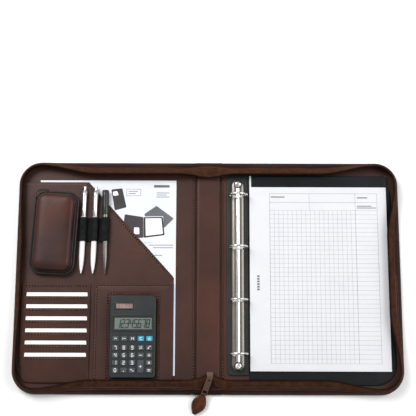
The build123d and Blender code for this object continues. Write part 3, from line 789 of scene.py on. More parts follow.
def tape_ring(foot, middle, edge):
    """Section of the zip tape through its foot, middle and free edge."""
    return [foot, (foot[0] + 0.9, foot[1] - 0.55), (middle[0] + 0.8, middle[1] - 0.7),
            (edge[0] + 0.6, edge[1] - 0.9), (edge[0] + 0.7, edge[1] - 0.1),
            (edge[0] - 0.2, edge[1] + 0.2), (middle[0] - 0.4, middle[1] + 0.4)]


def wall_section(corner, y, x):
    return wall_ring(*knee(corner, y), 0.35 * math.sin(x / 23.0 + y / 31.0))


def tape_section(corner, y, x):
    (ku, kz), (lu, lz) = knee(corner, y), lip(corner)
    wave = 0.3 * math.sin(x / 17.0 - y / 27.0)
    return tape_ring((ku - 0.5, kz + 0.25), ((ku + lu) / 2, (kz + lz) / 2 + 0.7 + wave), (lu, lz))


def coil_spot(corner, y):
    return lip(corner)[0] + 0.9, lip(corner)[1] + 0.45


def roll_spot(corner, y):
    return knee(corner, y)[0] + 0.35, knee(corner, y)[1] + 0.75


def shade_gap_spot(corner, y):
    """Line of a black cord of painted shade along the foot of the zip tape, a third of the way up from
    the gusset.
    """
    low, high = knee(corner, y)[1], lip(corner)[1]
    return knee(corner, y)[0] + 3.6, low + 0.25 + 0.33 * (high - low)


def zip_teeth(name, places, body):
    """Coil of the zip: one rounded link per pitch along the tape's free edge."""
    verts, faces = [], []
    for centre, along in resample(run_along(places, coil_spot), 1.6):
        across = along.cross(Vector((0, 0, 1))).normalized()
        base = len(verts)
        for half_length, half_width, rise in ((0.55, 1.3, -0.7), (0.4, 1.0, 0.7)):
            for a, b in ((-1, -1), (1, -1), (1, 1), (-1, 1)):
                verts.append(centre + along * a * half_length + across * b * half_width
                             + Vector((0, 0, rise)))
        for quad in ((3, 2, 1, 0), (4, 5, 6, 7), (0, 1, 5, 4), (1, 2, 6, 5), (2, 3, 7, 6), (3, 0, 4, 7)):
            faces.append(tuple(base + k for k in quad))
    return make(name, verts, faces, COIL_AND_SHADE, body, "zip_tape", 50.0)


for side, name, body in COVERS:
    route = u_path(side)
    wall = make(f"{name}_gusset_wall", *swept(lifted(route, wall_section)), WALL, body,
                "gusset_leather", 60.0)
    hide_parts(f"{name}_gusset")
    tape = make(f"{name}_zip_band", *swept(lifted(route, tape_section)), TAPE, body,
                "zip_tape", 60.0)
    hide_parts(f"{name}_zip_tape")
    # the coil's dark colour is partly painted shade along the tape's free edge
    zip_teeth(f"{name}_zip_coil_and_shade", route, body)
    # the roll cord's lighter leather is a painted highlight on the gusset's knee
    cord_mesh(f"{name}_gusset_roll", run_along(route, roll_spot), 1.0, ROLL, body, "gusset_leather")
    # painted shade: a black cord for the shadow gap along the foot of the zip tape
    cord_mesh(f"{name}_tape_shade_gap", run_along(route, shade_gap_spot), 0.7, PIPING, body, "zip_tape")


def tail_rings(side, end):
    """Sections of gusset and tape from a cover's end of the zip to the middle of the spine.

    At the top they sink onto the spine, and at the bottom the tape rises to the slider."""
    y = math.copysign(HALF_L, end)
    inward = -math.copysign(1.0, end)
    wall, tape = [], []
    for x in np.linspace(GUSSET_START + 1.5, 0.0, 26):
        share = 1 - x / (GUSSET_START + 1.5)
        ease = share * share * (3 - 2 * share)
        (ku, kz), (lu, lz) = knee(0.0, end), lip(0.0)
        ku, kz = ku + (7.0 - ku) * ease, kz + (6.8 - kz) * ease
        px, foot_u, foot_z = side * x, ku - 0.5, kz + 0.25
        if end > 0:
            lu, lz = lu + 4.0 * ease, lz + (13.5 - lz) * ease
        else:
            arm = share ** 2.6
            lu, lz = lu + 11.0 * arm, lz + (9.8 - lz) * ease
            px += (3.0 + side * 0.4) * ease
            foot_u, foot_z = foot_u + (lu - 7.0 - ku) * arm, foot_z + 1.2 * arm
        middle = ((foot_u + lu) / 2 + 0.2, (foot_z + lz) / 2 + 0.8)
        tape_points = tape_ring((foot_u, foot_z), middle, (lu, lz))
        wall.append([(px, y + inward * u, z) for u, z in wall_ring(ku, kz)])
        tape.append([(px, y + inward * u, z) for u, z in tape_points])
    return wall, tape


def tail(name, side, end):
    """Gusset and tape, with their cords, that bend over the fold from a cover to the spine."""
    wall, tape = tail_rings(side, end)
    # the roll cord's lighter leather is a painted highlight on the knee; the coil cord's dark colour is
    # painted shade at the tape's edge
    for label, row, radius, material in (("roll", wall, 1.0, ROLL), ("coil", tape, 0.7, COIL_AND_SHADE)):
        run = [(ring[4][0], ring[4][1], ring[4][2] + 0.2) for ring in row]
        cord = cord_mesh(f"{name}_{label}_tail", run, radius, material, None, "zip_tape")
        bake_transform(cord)
    for label, sections, material, slot in (("wall", wall, WALL, "gusset_leather"),
                                            ("tape", tape, TAPE, "zip_tape")):
        piece = make(f"{name}_{label}_tail", *swept(sections), material, None, slot, 60.0)
        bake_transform(piece)


for label, end in (("top", 1), ("bottom", -1)):
    for side, name, body in COVERS:
        tail(f"{name}_{label}", side, end)

# gore of gusset leather under the slider
panel("gusset_gore", box_outline(-11.5, 15.5, -170.5, -151.0, [2.0, 7.0, 7.0, 2.0], 8), flat(5.96),
      rolled(6.0, 6.7, 1.2), WALL, SPINE, "gusset_leather", (24, 18), 1.4)

# ------------------------------------------------------- document pocket side

LEAFLET_TOP = 6.5
leaflet = panel("leaflet", box_outline(-259.5, -49.5, -149.0, 148.0), flat(6.08), flat(LEAFLET_TOP),
                LEAFLET, FRONT, "paper", (20, 30), 1.0)


def ink(name, strips, z, material, body, slot="paper", thick=0.05):
    """Printed marks: thin raised strips, each an outline given as (x, y) points."""
    verts, faces = [], []
    for strip in strips:
        base, count = len(verts), len(strip)
        verts += [(x, y, z) for x, y in strip] + [(x, y, z + thick) for x, y in strip]
        faces.append(tuple(base + k for k in range(count))[::-1])
        faces.append(tuple(base + count + k for k in range(count)))
        for k in range(count):
            after = (k + 1) % count
            faces.append((base + k, base + after, base + count + after, base + count + k))
    return make(name, verts, faces, material, body, slot)


def bar(x0, x1, y0, y1):
    """A printed bar for ink."""
    return [(x0, y0), (x1, y0), (x1, y1), (x0, y1)]


def stroke(x0, y0, x1, y1, width):
    """A straight pen stroke as a four-cornered strip."""
    along = Vector((x1 - x0, y1 - y0)).normalized()
    across = Vector((-along.y, along.x)) * width / 2
    a, b = Vector((x0, y0)) - along * width * 0.3, Vector((x1, y1)) + along * width * 0.3
    return [tuple(a - across), tuple(b - across), tuple(b + across), tuple(a + across)]


# generic marks: a heading bar, text lines, a framed label and three tilted blocks
text = [bar(-84.0, -60.0, 137.0, 141.0)]
text += [bar(-80.0, -60.0 - 4 * (k % 2), 128.0 - 3.2 * k, 129.0 - 3.2 * k) for k in range(3)]
text += [bar(-91.0, -54.0, 46.6, 47.6), bar(-84.0, -54.0, 42.6, 43.6), bar(-82.0, -70.0, 31.0, 32.0)]
ink("leaflet_text", text, LEAFLET_TOP, GREY_INK, FRONT)
label = [bar(-126.5, -104.0, 134.0, 134.7), bar(-126.5, -104.0, 123.6, 124.3),
         bar(-126.5, -125.8, 124.3, 134.0), bar(-104.7, -104.0, 124.3, 134.0),
         bar(-123.0, -109.0, 130.2, 131.4), bar(-123.0, -112.0, 126.8, 128.0)]
ink("leaflet_label", label, LEAFLET_TOP, PALE_INK, FRONT)
blocks = [rounded(corners, 1.5, 4) for corners in (
    [(-143.9, 100.8), (-126.0, 105.9), (-133.0, 135.7), (-150.0, 133.8)],
    [(-111.0, 58.3), (-99.4, 58.3), (-100.0, 90.6), (-128.5, 95.0), (-130.0, 79.0)],
    [(-99.2, 58.3), (-66.9, 62.5), (-70.0, 91.0), (-99.6, 90.4)])]
ink("leaflet_dark_blocks", blocks, LEAFLET_TOP, DARK_INK, FRONT, thick=0.06)
tilted = rounded([(-68.4, 73.0), (-53.0, 88.4), (-79.9, 108.3), (-98.6, 95.2), (-97.0, 91.6),
                  (-69.4, 92.2)], 1.0, 3)
ink("leaflet_tilted_block", [tilted], LEAFLET_TOP, GREY_INK, FRONT, thick=0.06)
pages = [rounded([(-95.6, 61.5), (-69.6, 64.6), (-72.2, 88.8), (-96.6, 88.4)], 0.8, 3),
         rounded([(-114.0, 64.0), (-105.6, 64.0), (-106.0, 74.0), (-113.6, 74.6)], 0.8, 3),
         rounded([(-146.6, 123.6), (-138.0, 125.0), (-141.0, 131.4), (-147.6, 130.2)], 1.5, 4)]
ink("leaflet_block_pages", pages, LEAFLET_TOP + 0.06, CARD, FRONT)
ink("leaflet_tint", [bar(-51.6, -49.9, -146.0, -12.0), bar(-99.0, -85.0, 49.6, 52.0)],
    LEAFLET_TOP, BLUE_INK, FRONT)


def pocket_panel(name, outline, low, top, size, edge):
    """Slab of the front cover's pocket leather."""
    return panel(name, outline, low, top, LINING, FRONT, "lining_leather", size, edge)


def pocket_seam(name, runs, height=0.6):
    """Stitches on the front cover's pockets."""
    stitches(name, runs, THREAD_DARK, FRONT, "lining_leather", height=height)


MOUTH_LOW, MOUTH_HIGH = (-52.0, -2.6), (-184.5, 145.0)      # ends of the pocket's slanted mouth
pocket_outline = rounded([(-286.5, -161.0), (-52.0, -161.0), MOUTH_LOW, MOUTH_HIGH,
                          (-286.5, 145.0)], [30.0, 0, 0, 0, 0], 12)


def pocket_top(x, y, d):
    """Face of the document pocket, with its folded mouth and the seams sewn through it."""
    rise = 0.04 * ripple(x, y, 45.0, 1.0)
    fold = 0.35 * groove(d, 3.6, 0.7) * (y > -10)
    seam = 0.3 * groove(x, -179.0, 0.7) * (y < -13)
    across = 0.25 * groove(y, -15.8, 0.7)
    return rolled(6.3, POCKET_TOP, 0.9)(x, y, d) + rise - fold - seam - across


doc = pocket_panel("document_pocket_leather", pocket_outline, flat(6.55), pocket_top, (90, 110), 2.0)
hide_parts("document_pocket")
slant = (Vector(MOUTH_HIGH) - Vector(MOUTH_LOW)).normalized()
inside = Vector((-slant.y, slant.x)) * 3.4
sewn = [[(-283.0, 141.6), (-186.0, 141.6)],
        [(MOUTH_HIGH[0] + inside.x, MOUTH_HIGH[1] + inside.y - 2.0),
         (MOUTH_LOW[0] + inside.x, MOUTH_LOW[1] + inside.y + 1)],
        [(-55.2, -8.0), (-55.2, -158.0)]]
pocket_seam("document_pocket_stitches", [line_at(run, 7.8) for run in sewn])

# card slots: overlapping leather tiles, each with a card behind it
SLOT_LEFT, SLOT_RIGHT = -281.0, -177.5
CARD_LEFT, CARD_RIGHT = -273.5, -181.5
SLOT_PITCH, SLOT_LIFT = 18.0, 1.5      # each tile rises by the lift over one pitch
CARD_ROWS = [-31.7 - SLOT_PITCH * k for k in range(6)]


def sagging(lead, level, sag, x0, x1):
    """Height function of a tile or card that rises to its leading edge and bows up between its ends."""
    def height(x, y, d):
        bow = sag * np.sin((x - x0) / (x1 - x0) * math.pi)
        return level + (y - lead) * SLOT_LIFT / SLOT_PITCH + bow
    return height


tiles, tile_runs = [], []
pocket_panel("card_slot_header", box_outline(SLOT_LEFT, SLOT_RIGHT, -33.5, -13.4), flat(7.6),
             rolled(7.7, 8.8, 0.8), (30, 10), 1.2)
for index, lead in enumerate(CARD_ROWS):
    last = index == len(CARD_ROWS) - 1
    foot = -159.5 if last else lead - 22.0
    left = SLOT_LEFT + max(0.0, -141.0 - foot) * 0.16
    tile_outline = box_outline(left, SLOT_RIGHT, foot, lead, [9.0 if last else 0.0, 0, 0, 0], 6)
    tile_low, tile_rise = (sagging(lead, level, 0.25, SLOT_LEFT, SLOT_RIGHT) for level in (10.95, 0.0))
    tiles.append(pocket_panel(f"card_slot_{index + 1}", tile_outline, tile_low,
                              rolled(10.9, 11.85, 0.7, tile_rise), (30, 10), 1.0))
    tile_runs.append([(-272.0, lead - 2.6, 11.75), (-182.5, lead - 2.6, 11.75)])
    card_outline = box_outline(CARD_LEFT, CARD_RIGHT, lead - 15.0, lead + 5.6, 1.5, 4)
    card_low, card_top = (sagging(lead, level, 0.2, CARD_LEFT, CARD_RIGHT) for level in (10.35, 10.8))
    card = panel(f"card_{index + 1}", card_outline, card_low, card_top, CARD, FRONT, "paper",
                 (16, 6), 0.6)
    if index == 0:
        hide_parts("cards")
pocket_seam("card_slot_stitches", tile_runs, 0.7)
pocket_seam("card_header_stitches", [line_at([(-279.0, -16.4), (-180.0, -16.4)], 8.75),
                                     line_at([(-179.6, -18.0), (-179.6, -31.0)], 8.9)])
for label, x0, x1, foot in (("left", -281.0, -277.3, -137.0), ("right", -181.0, -177.5, -159.5)):
    pocket_panel(f"card_slot_rail_{label}", box_outline(x0, x1, foot, -13.6), flat(7.7),
                 rolled(7.8, 10.1, 0.9), (6, 40), 1.0)
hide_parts("card_slots")
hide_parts("leaflet")

# calculator pocket: a sewn panel with a window
CALC_X, CALC_Y = -112.2, -92.2
WINDOW_W, WINDOW_L = 69.5, 122.0


def framed(name, outer, window, profile, material, body, slot):
    """Panel round a window, which is given as (centre x, centre y, half width, half length, radius).

    The profile gives (share of the way from the outer edge to the window, height)."""
    (x0, x1), (y0, y1) = outer
    cx, cy, half_w, half_l, radius = window
    inner_ring = box_outline(cx - half_w, cx + half_w, cy - half_l, cy + half_l, radius, 6)
    outer_ring = box_outline(x0, x1, y0, y1, 0.8, 6)
    rings = []
    for share, z in profile:
        rings.append([(a[0] + (b[0] - a[0]) * share, a[1] + (b[1] - a[1]) * share, z)
                      for a, b in zip(outer_ring, inner_ring)])
    return make(name, *hoop(rings), material, body, slot, 60.0)


calc_pocket = framed("calculator_pocket_leather", ((-171.0, -52.6), (-160.5, -13.4)),
                     (CALC_X, CALC_Y, WINDOW_W / 2, WINDOW_L / 2, 4.5),
                     [(0, 7.7), (0, 8.6), (0.02, 9.0), (0.05, 9.1), (0.14, 8.75), (0.2, 9.1),
                      (0.7, 9.15), (0.86, 8.8), (0.93, 9.15), (0.985, 9.1), (1, 8.7), (1, 7.7)],
                     LINING, FRONT, "lining_leather")
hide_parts("calculator_pocket")
seam_x, seam_y = 38.6, 64.6
window_seam = box_outline(CALC_X - seam_x, CALC_X + seam_x, CALC_Y - seam_y, CALC_Y + seam_y, 4.0, 5)
window_seam.append((CALC_X - seam_x, CALC_Y - seam_y + 4.0))
pocket_seam("calculator_pocket_stitches",
            [line_at(window_seam, 9.1), line_at([(-169.0, -16.2), (-54.6, -16.2)], 8.9),
             line_at([(-168.6, -18.0), (-168.6, -158.0)], 8.9)])

# ------------------------------------------------------------------ calculator

repaint(["calculator_case"], CASE_PLASTIC)
panel("calculator_display",
      box_outline(CALC_X - 27.3, CALC_X + 28.3, CALC_Y + 11.1, CALC_Y + 28.1, 0.6, 3),
      flat(16.4), rolled(16.6, 16.85, 0.5), DISPLAY, FRONT, "calculator_plastic", (10, 8), 0.5)
cells = []
for index in range(5):
    x0 = CALC_X - 25.2 + index * 4.95
    cells.append(bar(x0, x0 + 4.65, CALC_Y + 42.1, CALC_Y + 49.1))
ink("calculator_solar_cells", cells, 16.68, SOLAR, FRONT, "calculator_plastic", 0.12)
framed("calculator_bezel", ((CALC_X - 31.5, CALC_X + 32.0), (CALC_Y + 7.6, CALC_Y + 33.2)),
       (CALC_X + 0.5, CALC_Y + 19.6, 28.0, 8.7, 0.8),
       [(0, 16.95), (0.05, 17.35), (0.2, 17.45), (0.85, 17.45), (1, 17.25), (1, 16.95)],
       BLACK_CAP, FRONT, "calculator_plastic")
framed("calculator_solar_frame", ((CALC_X - 28.0, CALC_X + 2.0), (CALC_Y + 39.6, CALC_Y + 51.6)),
       (CALC_X - 13.0, CALC_Y + 45.6, 12.5, 3.8, 0.5),
       [(0, 16.95), (0.1, 17.25), (0.8, 17.3), (1, 17.1), (1, 16.95)],
       BLACK_CAP, FRONT, "calculator_plastic")
SEGMENTS = {"1": "bc", "2": "abged", "3": "abgcd", "4": "fgbc", "5": "afgcd", "6": "afgedc",
            "7": "abc", "8": "abcdefg", "9": "abcdfg", "0": "abcdef"}
ENDS = {"a": (0, 2, 1, 2), "b": (1, 2, 1, 1), "c": (1, 1, 1, 0), "d": (0, 0, 1, 0),
        "e": (0, 0, 0, 1), "f": (0, 1, 0, 2), "g": (0, 1, 1, 1)}


def digit(symbol, x, y, width, height, weight, lean=0.0):
    """Seven-segment numeral with its lower left corner at x, y."""
    strokes = []
    for segment in SEGMENTS[symbol]:
        ax, ay, bx, by = ENDS[segment]
        strokes.append(stroke(x + ax * width + ay * lean, y + ay * height / 2,
                              x + bx * width + by * lean, y + by * height / 2, weight))
    return strokes


marks = []
for index, symbol in enumerate("12345678"):
    marks += digit(symbol, CALC_X - 23.6 + index * 6.2, CALC_Y + 13.6, 4.0, 11.6, 1.35, 0.9)
ink("calculator_digits", marks, 16.85, SEGMENT, FRONT, "calculator_plastic", 0.04)

COLUMNS = [-25.0, -12.5, 0.0, 12.5, 25.0]
ROWS = [-2.8, -16.2, -27.2, -38.2, -49.2]
KEY_ROWS = [["mark_up", "sign_change", "memory_recall", "clear", "power"],
            ["seven", "eight", "nine", "percent", "root"],
            ["four", "five", "six", "minus", "divide"],
            ["one", "two", "three", "plus", "multiply"],
            ["zero", "point", "double_zero", None, "equals"]]
NUMERALS = {"one": "1", "two": "2", "three": "3", "four": "4", "five": "5", "six": "6",
            "seven": "7", "eight": "8", "nine": "9", "zero": "0"}


def dash(x, y, half):
    """A level stroke round x, y."""
    return (x - half, y, x + half, y, 0.55)


# strokes of each sign round the key's centre: start, end and width
SIGNS = {
    "plus": [dash(0, 0, 1.4), (0, -1.4, 0, 1.4, 0.55)],
    "minus": [dash(0, 0, 1.4)],
    "multiply": [(-1.1, -1.1, 1.1, 1.1, 0.55), (-1.1, 1.1, 1.1, -1.1, 0.55)],
    "divide": [dash(0, 0, 1.4), dash(0, 1.2, 0.25), dash(0, -1.2, 0.25)],
    "equals": [dash(0, 0.7, 1.4), dash(0, -0.7, 1.4)],
    "percent": [(-1.2, -1.5, 1.2, 1.5, 0.5), dash(-1.1, 0.9, 0.3), dash(1.1, -0.9, 0.3)],
    "root": [(-1.6, -0.1, -0.8, -1.5, 0.5), (-0.8, -1.5, 0, 1.5, 0.5), dash(0.9, 1.5, 0.9)],
    "point": [dash(0, -1.2, 0.3)],
    "double_zero": [dash(-0.9, 0.6, 0.8), (-0.9, -0.2, -0.9, 1.4, 0.45), dash(1.0, -0.8, 0.8)],
    "clear": [dash(0.2, 1.3, 0.9), dash(0.2, -1.3, 0.9), (-1.0, -1.0, -1.0, 1.0, 0.5)],
    "power": [(0, 0.2, 0, 1.7, 0.5), dash(0, -1.4, 0.8), (-1.2, -0.9, -1.2, 0.5, 0.5),
              (1.2, -0.9, 1.2, 0.5, 0.5)],
    "mark_up": [(-1.3, -0.6, 0, 0.9, 0.5), (0, 0.9, 1.3, -0.6, 0.5)],
    "sign_change": [(-1.2, -0.9, -1.2, 0.9, 0.5), dash(0.7, 0, 0.8)],
    "memory_recall": [(-1.2, -1.2, -1.2, 1.2, 0.5), (-1.2, 1.2, 0, -0.2, 0.5),
                      (0, -0.2, 1.2, 1.2, 0.5), (1.2, 1.2, 1.2, -1.2, 0.5)],
}
LEGEND_SCALE = 1.4


def legend(name):
    """Generic numeral or sign round the middle of a key."""
    if name in NUMERALS:
        return digit(NUMERALS[name], -0.95, -1.7, 1.9, 3.4, 0.6)
    return [stroke(*line) for line in SIGNS[name]]


for row, names in enumerate(KEY_ROWS):
    for column, key in enumerate(names):
        if key is None:
            continue
        blue = key in ("clear", "power")
        repaint([f"key_{key}"], KEY_BLUE if blue else KEY_GREY)
        x, y = CALC_X + COLUMNS[column], CALC_Y + ROWS[row] - (5.5 if key == "plus" else 0.0)
        sign = [[(x + LEGEND_SCALE * a, y + LEGEND_SCALE * b) for a, b in outline]
                for outline in legend(key)]
        ink(f"legend_{key}", sign, 18.29, LEGEND, f"calc_key_{key}",
            "key_blue" if blue else "key_grey", 0.08)

# ------------------------------------------------------------------------ pens

PEN_LINES = [(-189.7, -192.5, 4.0), (-172.6, -174.8, 4.0), (-157.9, -156.5, 4.5)]
PEN_TOP, PEN_END = 131.0, 1.5


def pen_frame(line):
    """Centre of a pen's top end and its direction down the barrel."""
    top_x, bottom_x, radius = line
    z = 9.0 + radius
    start = Vector((top_x, PEN_TOP, z))
    return start, (Vector((bottom_x, PEN_END, z)) - start).normalized()


def lathe(name, line, profile, material):
    """Turned part on a pen's axis: profile is (distance from the top end, radius)."""
    start, along = pen_frame(line)
    across = Vector((-along.y, along.x, 0))
    turns = [2 * math.pi * k / 28 for k in range(28)]
    rings = []
    for at, radius in profile:
        centre = start + along * at
        rings.append([centre + across * radius * math.cos(turn) + Vector((0, 0, radius * math.sin(turn)))
                      for turn in turns])
    return stacked(name, rings, material, FRONT, "pen_metal", 35.0)


def clip(name, line, material, length, width, first=1.5):
    """Sprung clip over the barrel, joined at its top and dipping to a ball at its end."""
    start, along = pen_frame(line)
    across = Vector((-along.y, along.x, 0))
    radius = line[2]
    thick = 0.9
    sections = []
    for share in np.linspace(0, 1, 16):
        rise = radius * (0.55 + 0.72 * min(share * 9, 1) ** 0.7)
        rise -= 0.35 * math.sin(share * math.pi) + 0.5 * max(share - 0.85, 0) / 0.15
        half = width / 2 * (1 - 0.25 * share) * (1 if share < 0.97 else 0.6)
        centre = start + along * (first + share * length)
        sections.append([centre + across * a + Vector((0, 0, rise + b)) for a, b in
                         ((-half, 0), (half, 0), (half, thick * 0.6), (half * 0.6, thick),
                          (-half * 0.6, thick), (-half, thick * 0.6))])
    return stacked(name, sections, material, FRONT, "pen_metal", 40.0)


POINT = [(126.0, 1.1), (128.2, 0.8), (128.4, 0.4)]      # writing end of every pen
for index, side in enumerate(("left", "middle")):
    line = PEN_LINES[index]
    r = line[2]
    upper = lathe(f"pen_{side}_upper", line,
                  [(0.0, 2.5), (0.0, 3.0), (0.5, 3.3), (2.0, r * 0.92), (3.0, r), (41.0, r),
                   (41.4, r * 0.96)], SILVER)
    lathe(f"pen_{side}_barrel", line,
          [(41.4, r * 0.9), (41.6, r), (100.0, r), (108.0, r * 0.93), (116.0, r * 0.76),
           (122.0, r * 0.52), (125.5, r * 0.34)] + POINT, WHITE_BARREL)
    clip(f"pen_{side}_clip", line, SILVER, 36.0, 3.4)
    if index == 0:
        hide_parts("pens")
repaint(("pen_button_left", "pen_button_middle"), SILVER)
line = PEN_LINES[2]
r = line[2]
lathe("pen_right_cap", line,
      [(0.0, r * 0.8), (0.2, r * 1.05), (0.8, r * 1.14), (2.0, r * 1.18), (37.0, r * 1.14),
       (38.0, r * 1.12), (38.3, r * 0.98)], BLACK_CAP)
lathe("pen_right_barrel", line,
      [(38.3, r * 0.9), (38.5, r * 0.97), (42.0, r * 0.97), (100.0, r * 0.93), (110.0, r * 0.82),
       (119.0, r * 0.58), (125.0, r * 0.34)] + POINT, GUNMETAL)
clip("pen_right_clip", line, BLACK_CAP, 34.0, 4.4, 0.6)

LOOP_Y = (51.7, 88.5)


def loop_centre(line):
    """Where a pen's axis crosses the middle of the elastic, as x and z."""
    top_x, bottom_x, radius = line
    middle = (LOOP_Y[0] + LOOP_Y[1]) / 2
    return top_x + (bottom_x - top_x) * (PEN_TOP - middle) / (PEN_TOP - PEN_END), 9.0 + radius


def elastic_line():
    """Middle line of the elastic in an X-Z section, up and over each pen."""
    points = [(loop_centre(PEN_LINES[0])[0] - 6.8, 8.5)]
    for line in PEN_LINES:
        cx, cz = loop_centre(line)
        reach = line[2] + 0.85
        for angle in np.linspace(200, -20, 15):
            z = cz + reach * math.sin(math.radians(angle))
            points.append((cx + reach * math.cos(math.radians(angle)), max(z, 8.7)))
        points.append((cx + reach + 0.7, 8.5))
    return points


centre_line = [Vector(p) for p in elastic_line()]
sections = []
for y in np.arange(LOOP_Y[0], LOOP_Y[1] + 0.01, 0.46):
    half = 0.42 + 0.1 * math.sin((y - LOOP_Y[0]) / 1.84 * 2 * math.pi)
    shift = 2.8 * ((y - LOOP_Y[0]) / (LOOP_Y[1] - LOOP_Y[0]) - 0.5) * 0.28
    ring_out, ring_in = [], []
    for k, point in enumerate(centre_line):
        after = centre_line[min(k + 1, len(centre_line) - 1)]
        along = (after - centre_line[max(k - 1, 0)]).normalized()
        normal = Vector((-along.y, along.x))
        a, b = point + normal * half, point - normal * 0.4
        ring_out.append((a.x + shift, y, a.y))
        ring_in.append((b.x + shift, y, max(b.y, 8.0)))
    sections.append(ring_out + ring_in[::-1])
loops = make("pen_loop_elastic", *swept(sections), ELASTIC, FRONT, "elastic", 70.0)
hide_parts("pen_loops")

# ----------------------------------------------------------------- phone pouch

POUCH_C, POUCH_TURN = (-234.0, 64.6), math.radians(-3.0)


def pouch_ring(inset, z):
    """Rounded rectangle of the pouch at one height."""
    half_w, half_l = 34.0 - inset, 64.0 - inset
    c, s = math.cos(POUCH_TURN), math.sin(POUCH_TURN)
    ring = box_outline(-half_w, half_w, -half_l, half_l, max(17.0 - inset * 0.8, 3.0), 12)
    return [(POUCH_C[0] + x * c - y * s, POUCH_C[1] + x * s + y * c, z) for x, y in ring]


def pouch_rings(*profile):
    """Rings of the pouch from (inset, height) pairs."""
    return [pouch_ring(inset, z) for inset, z in profile]


base = stacked("pouch_tray",
               pouch_rings((1.0, 8.0), (0.2, 8.6), (0.0, 12.0), (0.3, 15.0), (1.2, 15.7), (2.0, 15.7),
                           (2.4, 15.0), (2.6, 10.0), (3.6, 9.4)), POUCH, FRONT, "pouch_leather", 50.0)
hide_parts("pouch_base")
cord_mesh("pouch_tray_piping", pouch_ring(0.7, 15.6), 0.75, PIPING, FRONT, "pouch_leather", True)
zip_loops = pouch_rings((1.3, 15.6), (1.2, 16.2), (2.0, 16.65), (6.6, 16.75), (7.0, 16.3),
                        (6.6, 15.9), (2.4, 15.9))
make("pouch_zip_tape", *hoop(zip_loops), POUCH_TAPE, FRONT, "pouch_leather", 50.0)
lid = stacked("pouch_lid_leather",
              pouch_rings((7.2, 18.0), (6.2, 17.2), (5.2, 16.95), (4.6, 17.3), (4.7, 18.4), (5.2, 19.3),
                          (5.3, 21.0), (5.6, 23.4), (6.6, 25.8), (8.4, 27.8), (11.2, 29.0),
                          (15.0, 29.6), (20.4, 29.9), (27.0, 30.0)),
              POUCH, "pouch_cover", "pouch_leather", 60.0)
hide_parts("pouch_lid")
cord_mesh("pouch_lid_piping", pouch_ring(4.6, 18.6), 0.95, PIPING, "pouch_cover", "pouch_leather", True)
cord_mesh("pouch_zip_rim", pouch_ring(1.1, 16.7), 0.7, PIPING, FRONT, "pouch_leather", True)
cord_mesh("pouch_zip_pull", [(-264.0, 118.0, 17.6), (-265.0, 124.0, 18.0), (-262.0, 129.0, 18.0),
                             (-256.0, 130.8, 17.6), (-248.0, 131.0, 17.0), (-244.0, 129.6, 16.6)],
          1.1, PIPING, FRONT, "pouch_leather")

# ------------------------------------------------------------------- ring binder

repaint(("rings_left", "rings_right"), CHROME)

RAIL_X, RAIL_Y, RAIL_HALF = 45.0, 3.0, 144.0
CROWN = [(-3.3, 12.1), (-3.0, 13.0), (-2.2, 13.8), (-1.1, 14.35), (0.0, 14.5)]
CROWN += [(-x, z) for x, z in CROWN[-2::-1]]
FLANK = [(3.5, 11.8), (5.0, 11.8), (6.8, 11.5), (8.4, 10.9), (9.4, 10.1), (9.9, 9.3)]
RING_Y = (-117.0, -37.0, 43.0, 123.0)


def rail_strip(y0, y1, outer, material):
    """Length of folded steel rail, narrowing at the rail's ends; outer is its profile."""
    profile = outer + [(x, z - 0.8) for x, z in outer[::-1]]
    loops = []
    for y in np.linspace(y0, y1, max(int((y1 - y0) / 3.0), 2)):
        squeeze = 1.0 - 0.45 * np.clip((abs(y - RAIL_Y) - RAIL_HALF + 6.5) / 6.5, 0, 1) ** 2
        loops.append([(RAIL_X + x * squeeze, y, z) for x, z in profile])
    return make("rail_strip", *swept(loops), material, BACK, "ring_steel", 30.0)


# bright steel on the crown; the flanks between the rings take the dark copy of the steel, as painted
# shade
strips = [rail_strip(RAIL_Y - RAIL_HALF, RAIL_Y + RAIL_HALF, CROWN, CHROME)]
stops = [RAIL_Y - RAIL_HALF]
for y in RING_Y:
    stops += [y - 2.6, y + 2.6]
stops.append(RAIL_Y + RAIL_HALF)
for start, stop in zip(stops[::2], stops[1::2]):
    strips.append(rail_strip(start, stop, FLANK, SHADED_FLANK_STEEL))
    strips.append(rail_strip(start, stop, [(-x, z) for x, z in FLANK[::-1]], SHADED_FLANK_STEEL))
rail = join("ring_rail_steel", strips)
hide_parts("ring_rail")
WASHER = [(0.4, 14.3), (6.1, 14.3), (6.3, 14.9), (6.0, 15.2), (0.4, 15.2)]
RIVET = [(0.5, 15.1), (4.7, 15.1), (4.9, 15.7), (4.3, 16.5), (2.9, 17.0), (2.3, 16.7), (1.6, 16.0),
         (0.5, 15.9)]
for k, y in enumerate((RAIL_Y - 138.0, RAIL_Y + 138.0)):
    for label, material, profile in (("washer", PIPING, WASHER), ("rivet", CHROME, RIVET)):
        rings = [[(RAIL_X + r * math.cos(a), y + r * math.sin(a), z)
                  for a in np.linspace(0, 2 * math.pi, 33)[:-1]] for r, z in profile]
        stacked(f"rail_{label}_{k}", rings, material, BACK, "ring_steel", 35.0)
plate = panel("ring_plate_cover", box_outline(28.5, 61.0, -149.0, 156.0, [7.0, 0, 0, 7.0], 8),
              flat(6.0), rolled(6.3, 8.0, 1.6), PLATE, BACK, "ring_plate_leatherette", (24, 60), 1.8)
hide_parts("ring_plate")
sewn = [[(58.4, -146.0), (58.4, 153.0)], [(33.0, 153.4), (56.0, 153.4)],
        [(33.0, -146.4), (56.0, -146.4)], [(31.0, -142.0), (31.0, 149.0)]]
stitches("ring_plate_stitches", [line_at(run, 7.95) for run in sewn], THREAD_BLACK, BACK,
         "ring_plate_leatherette")

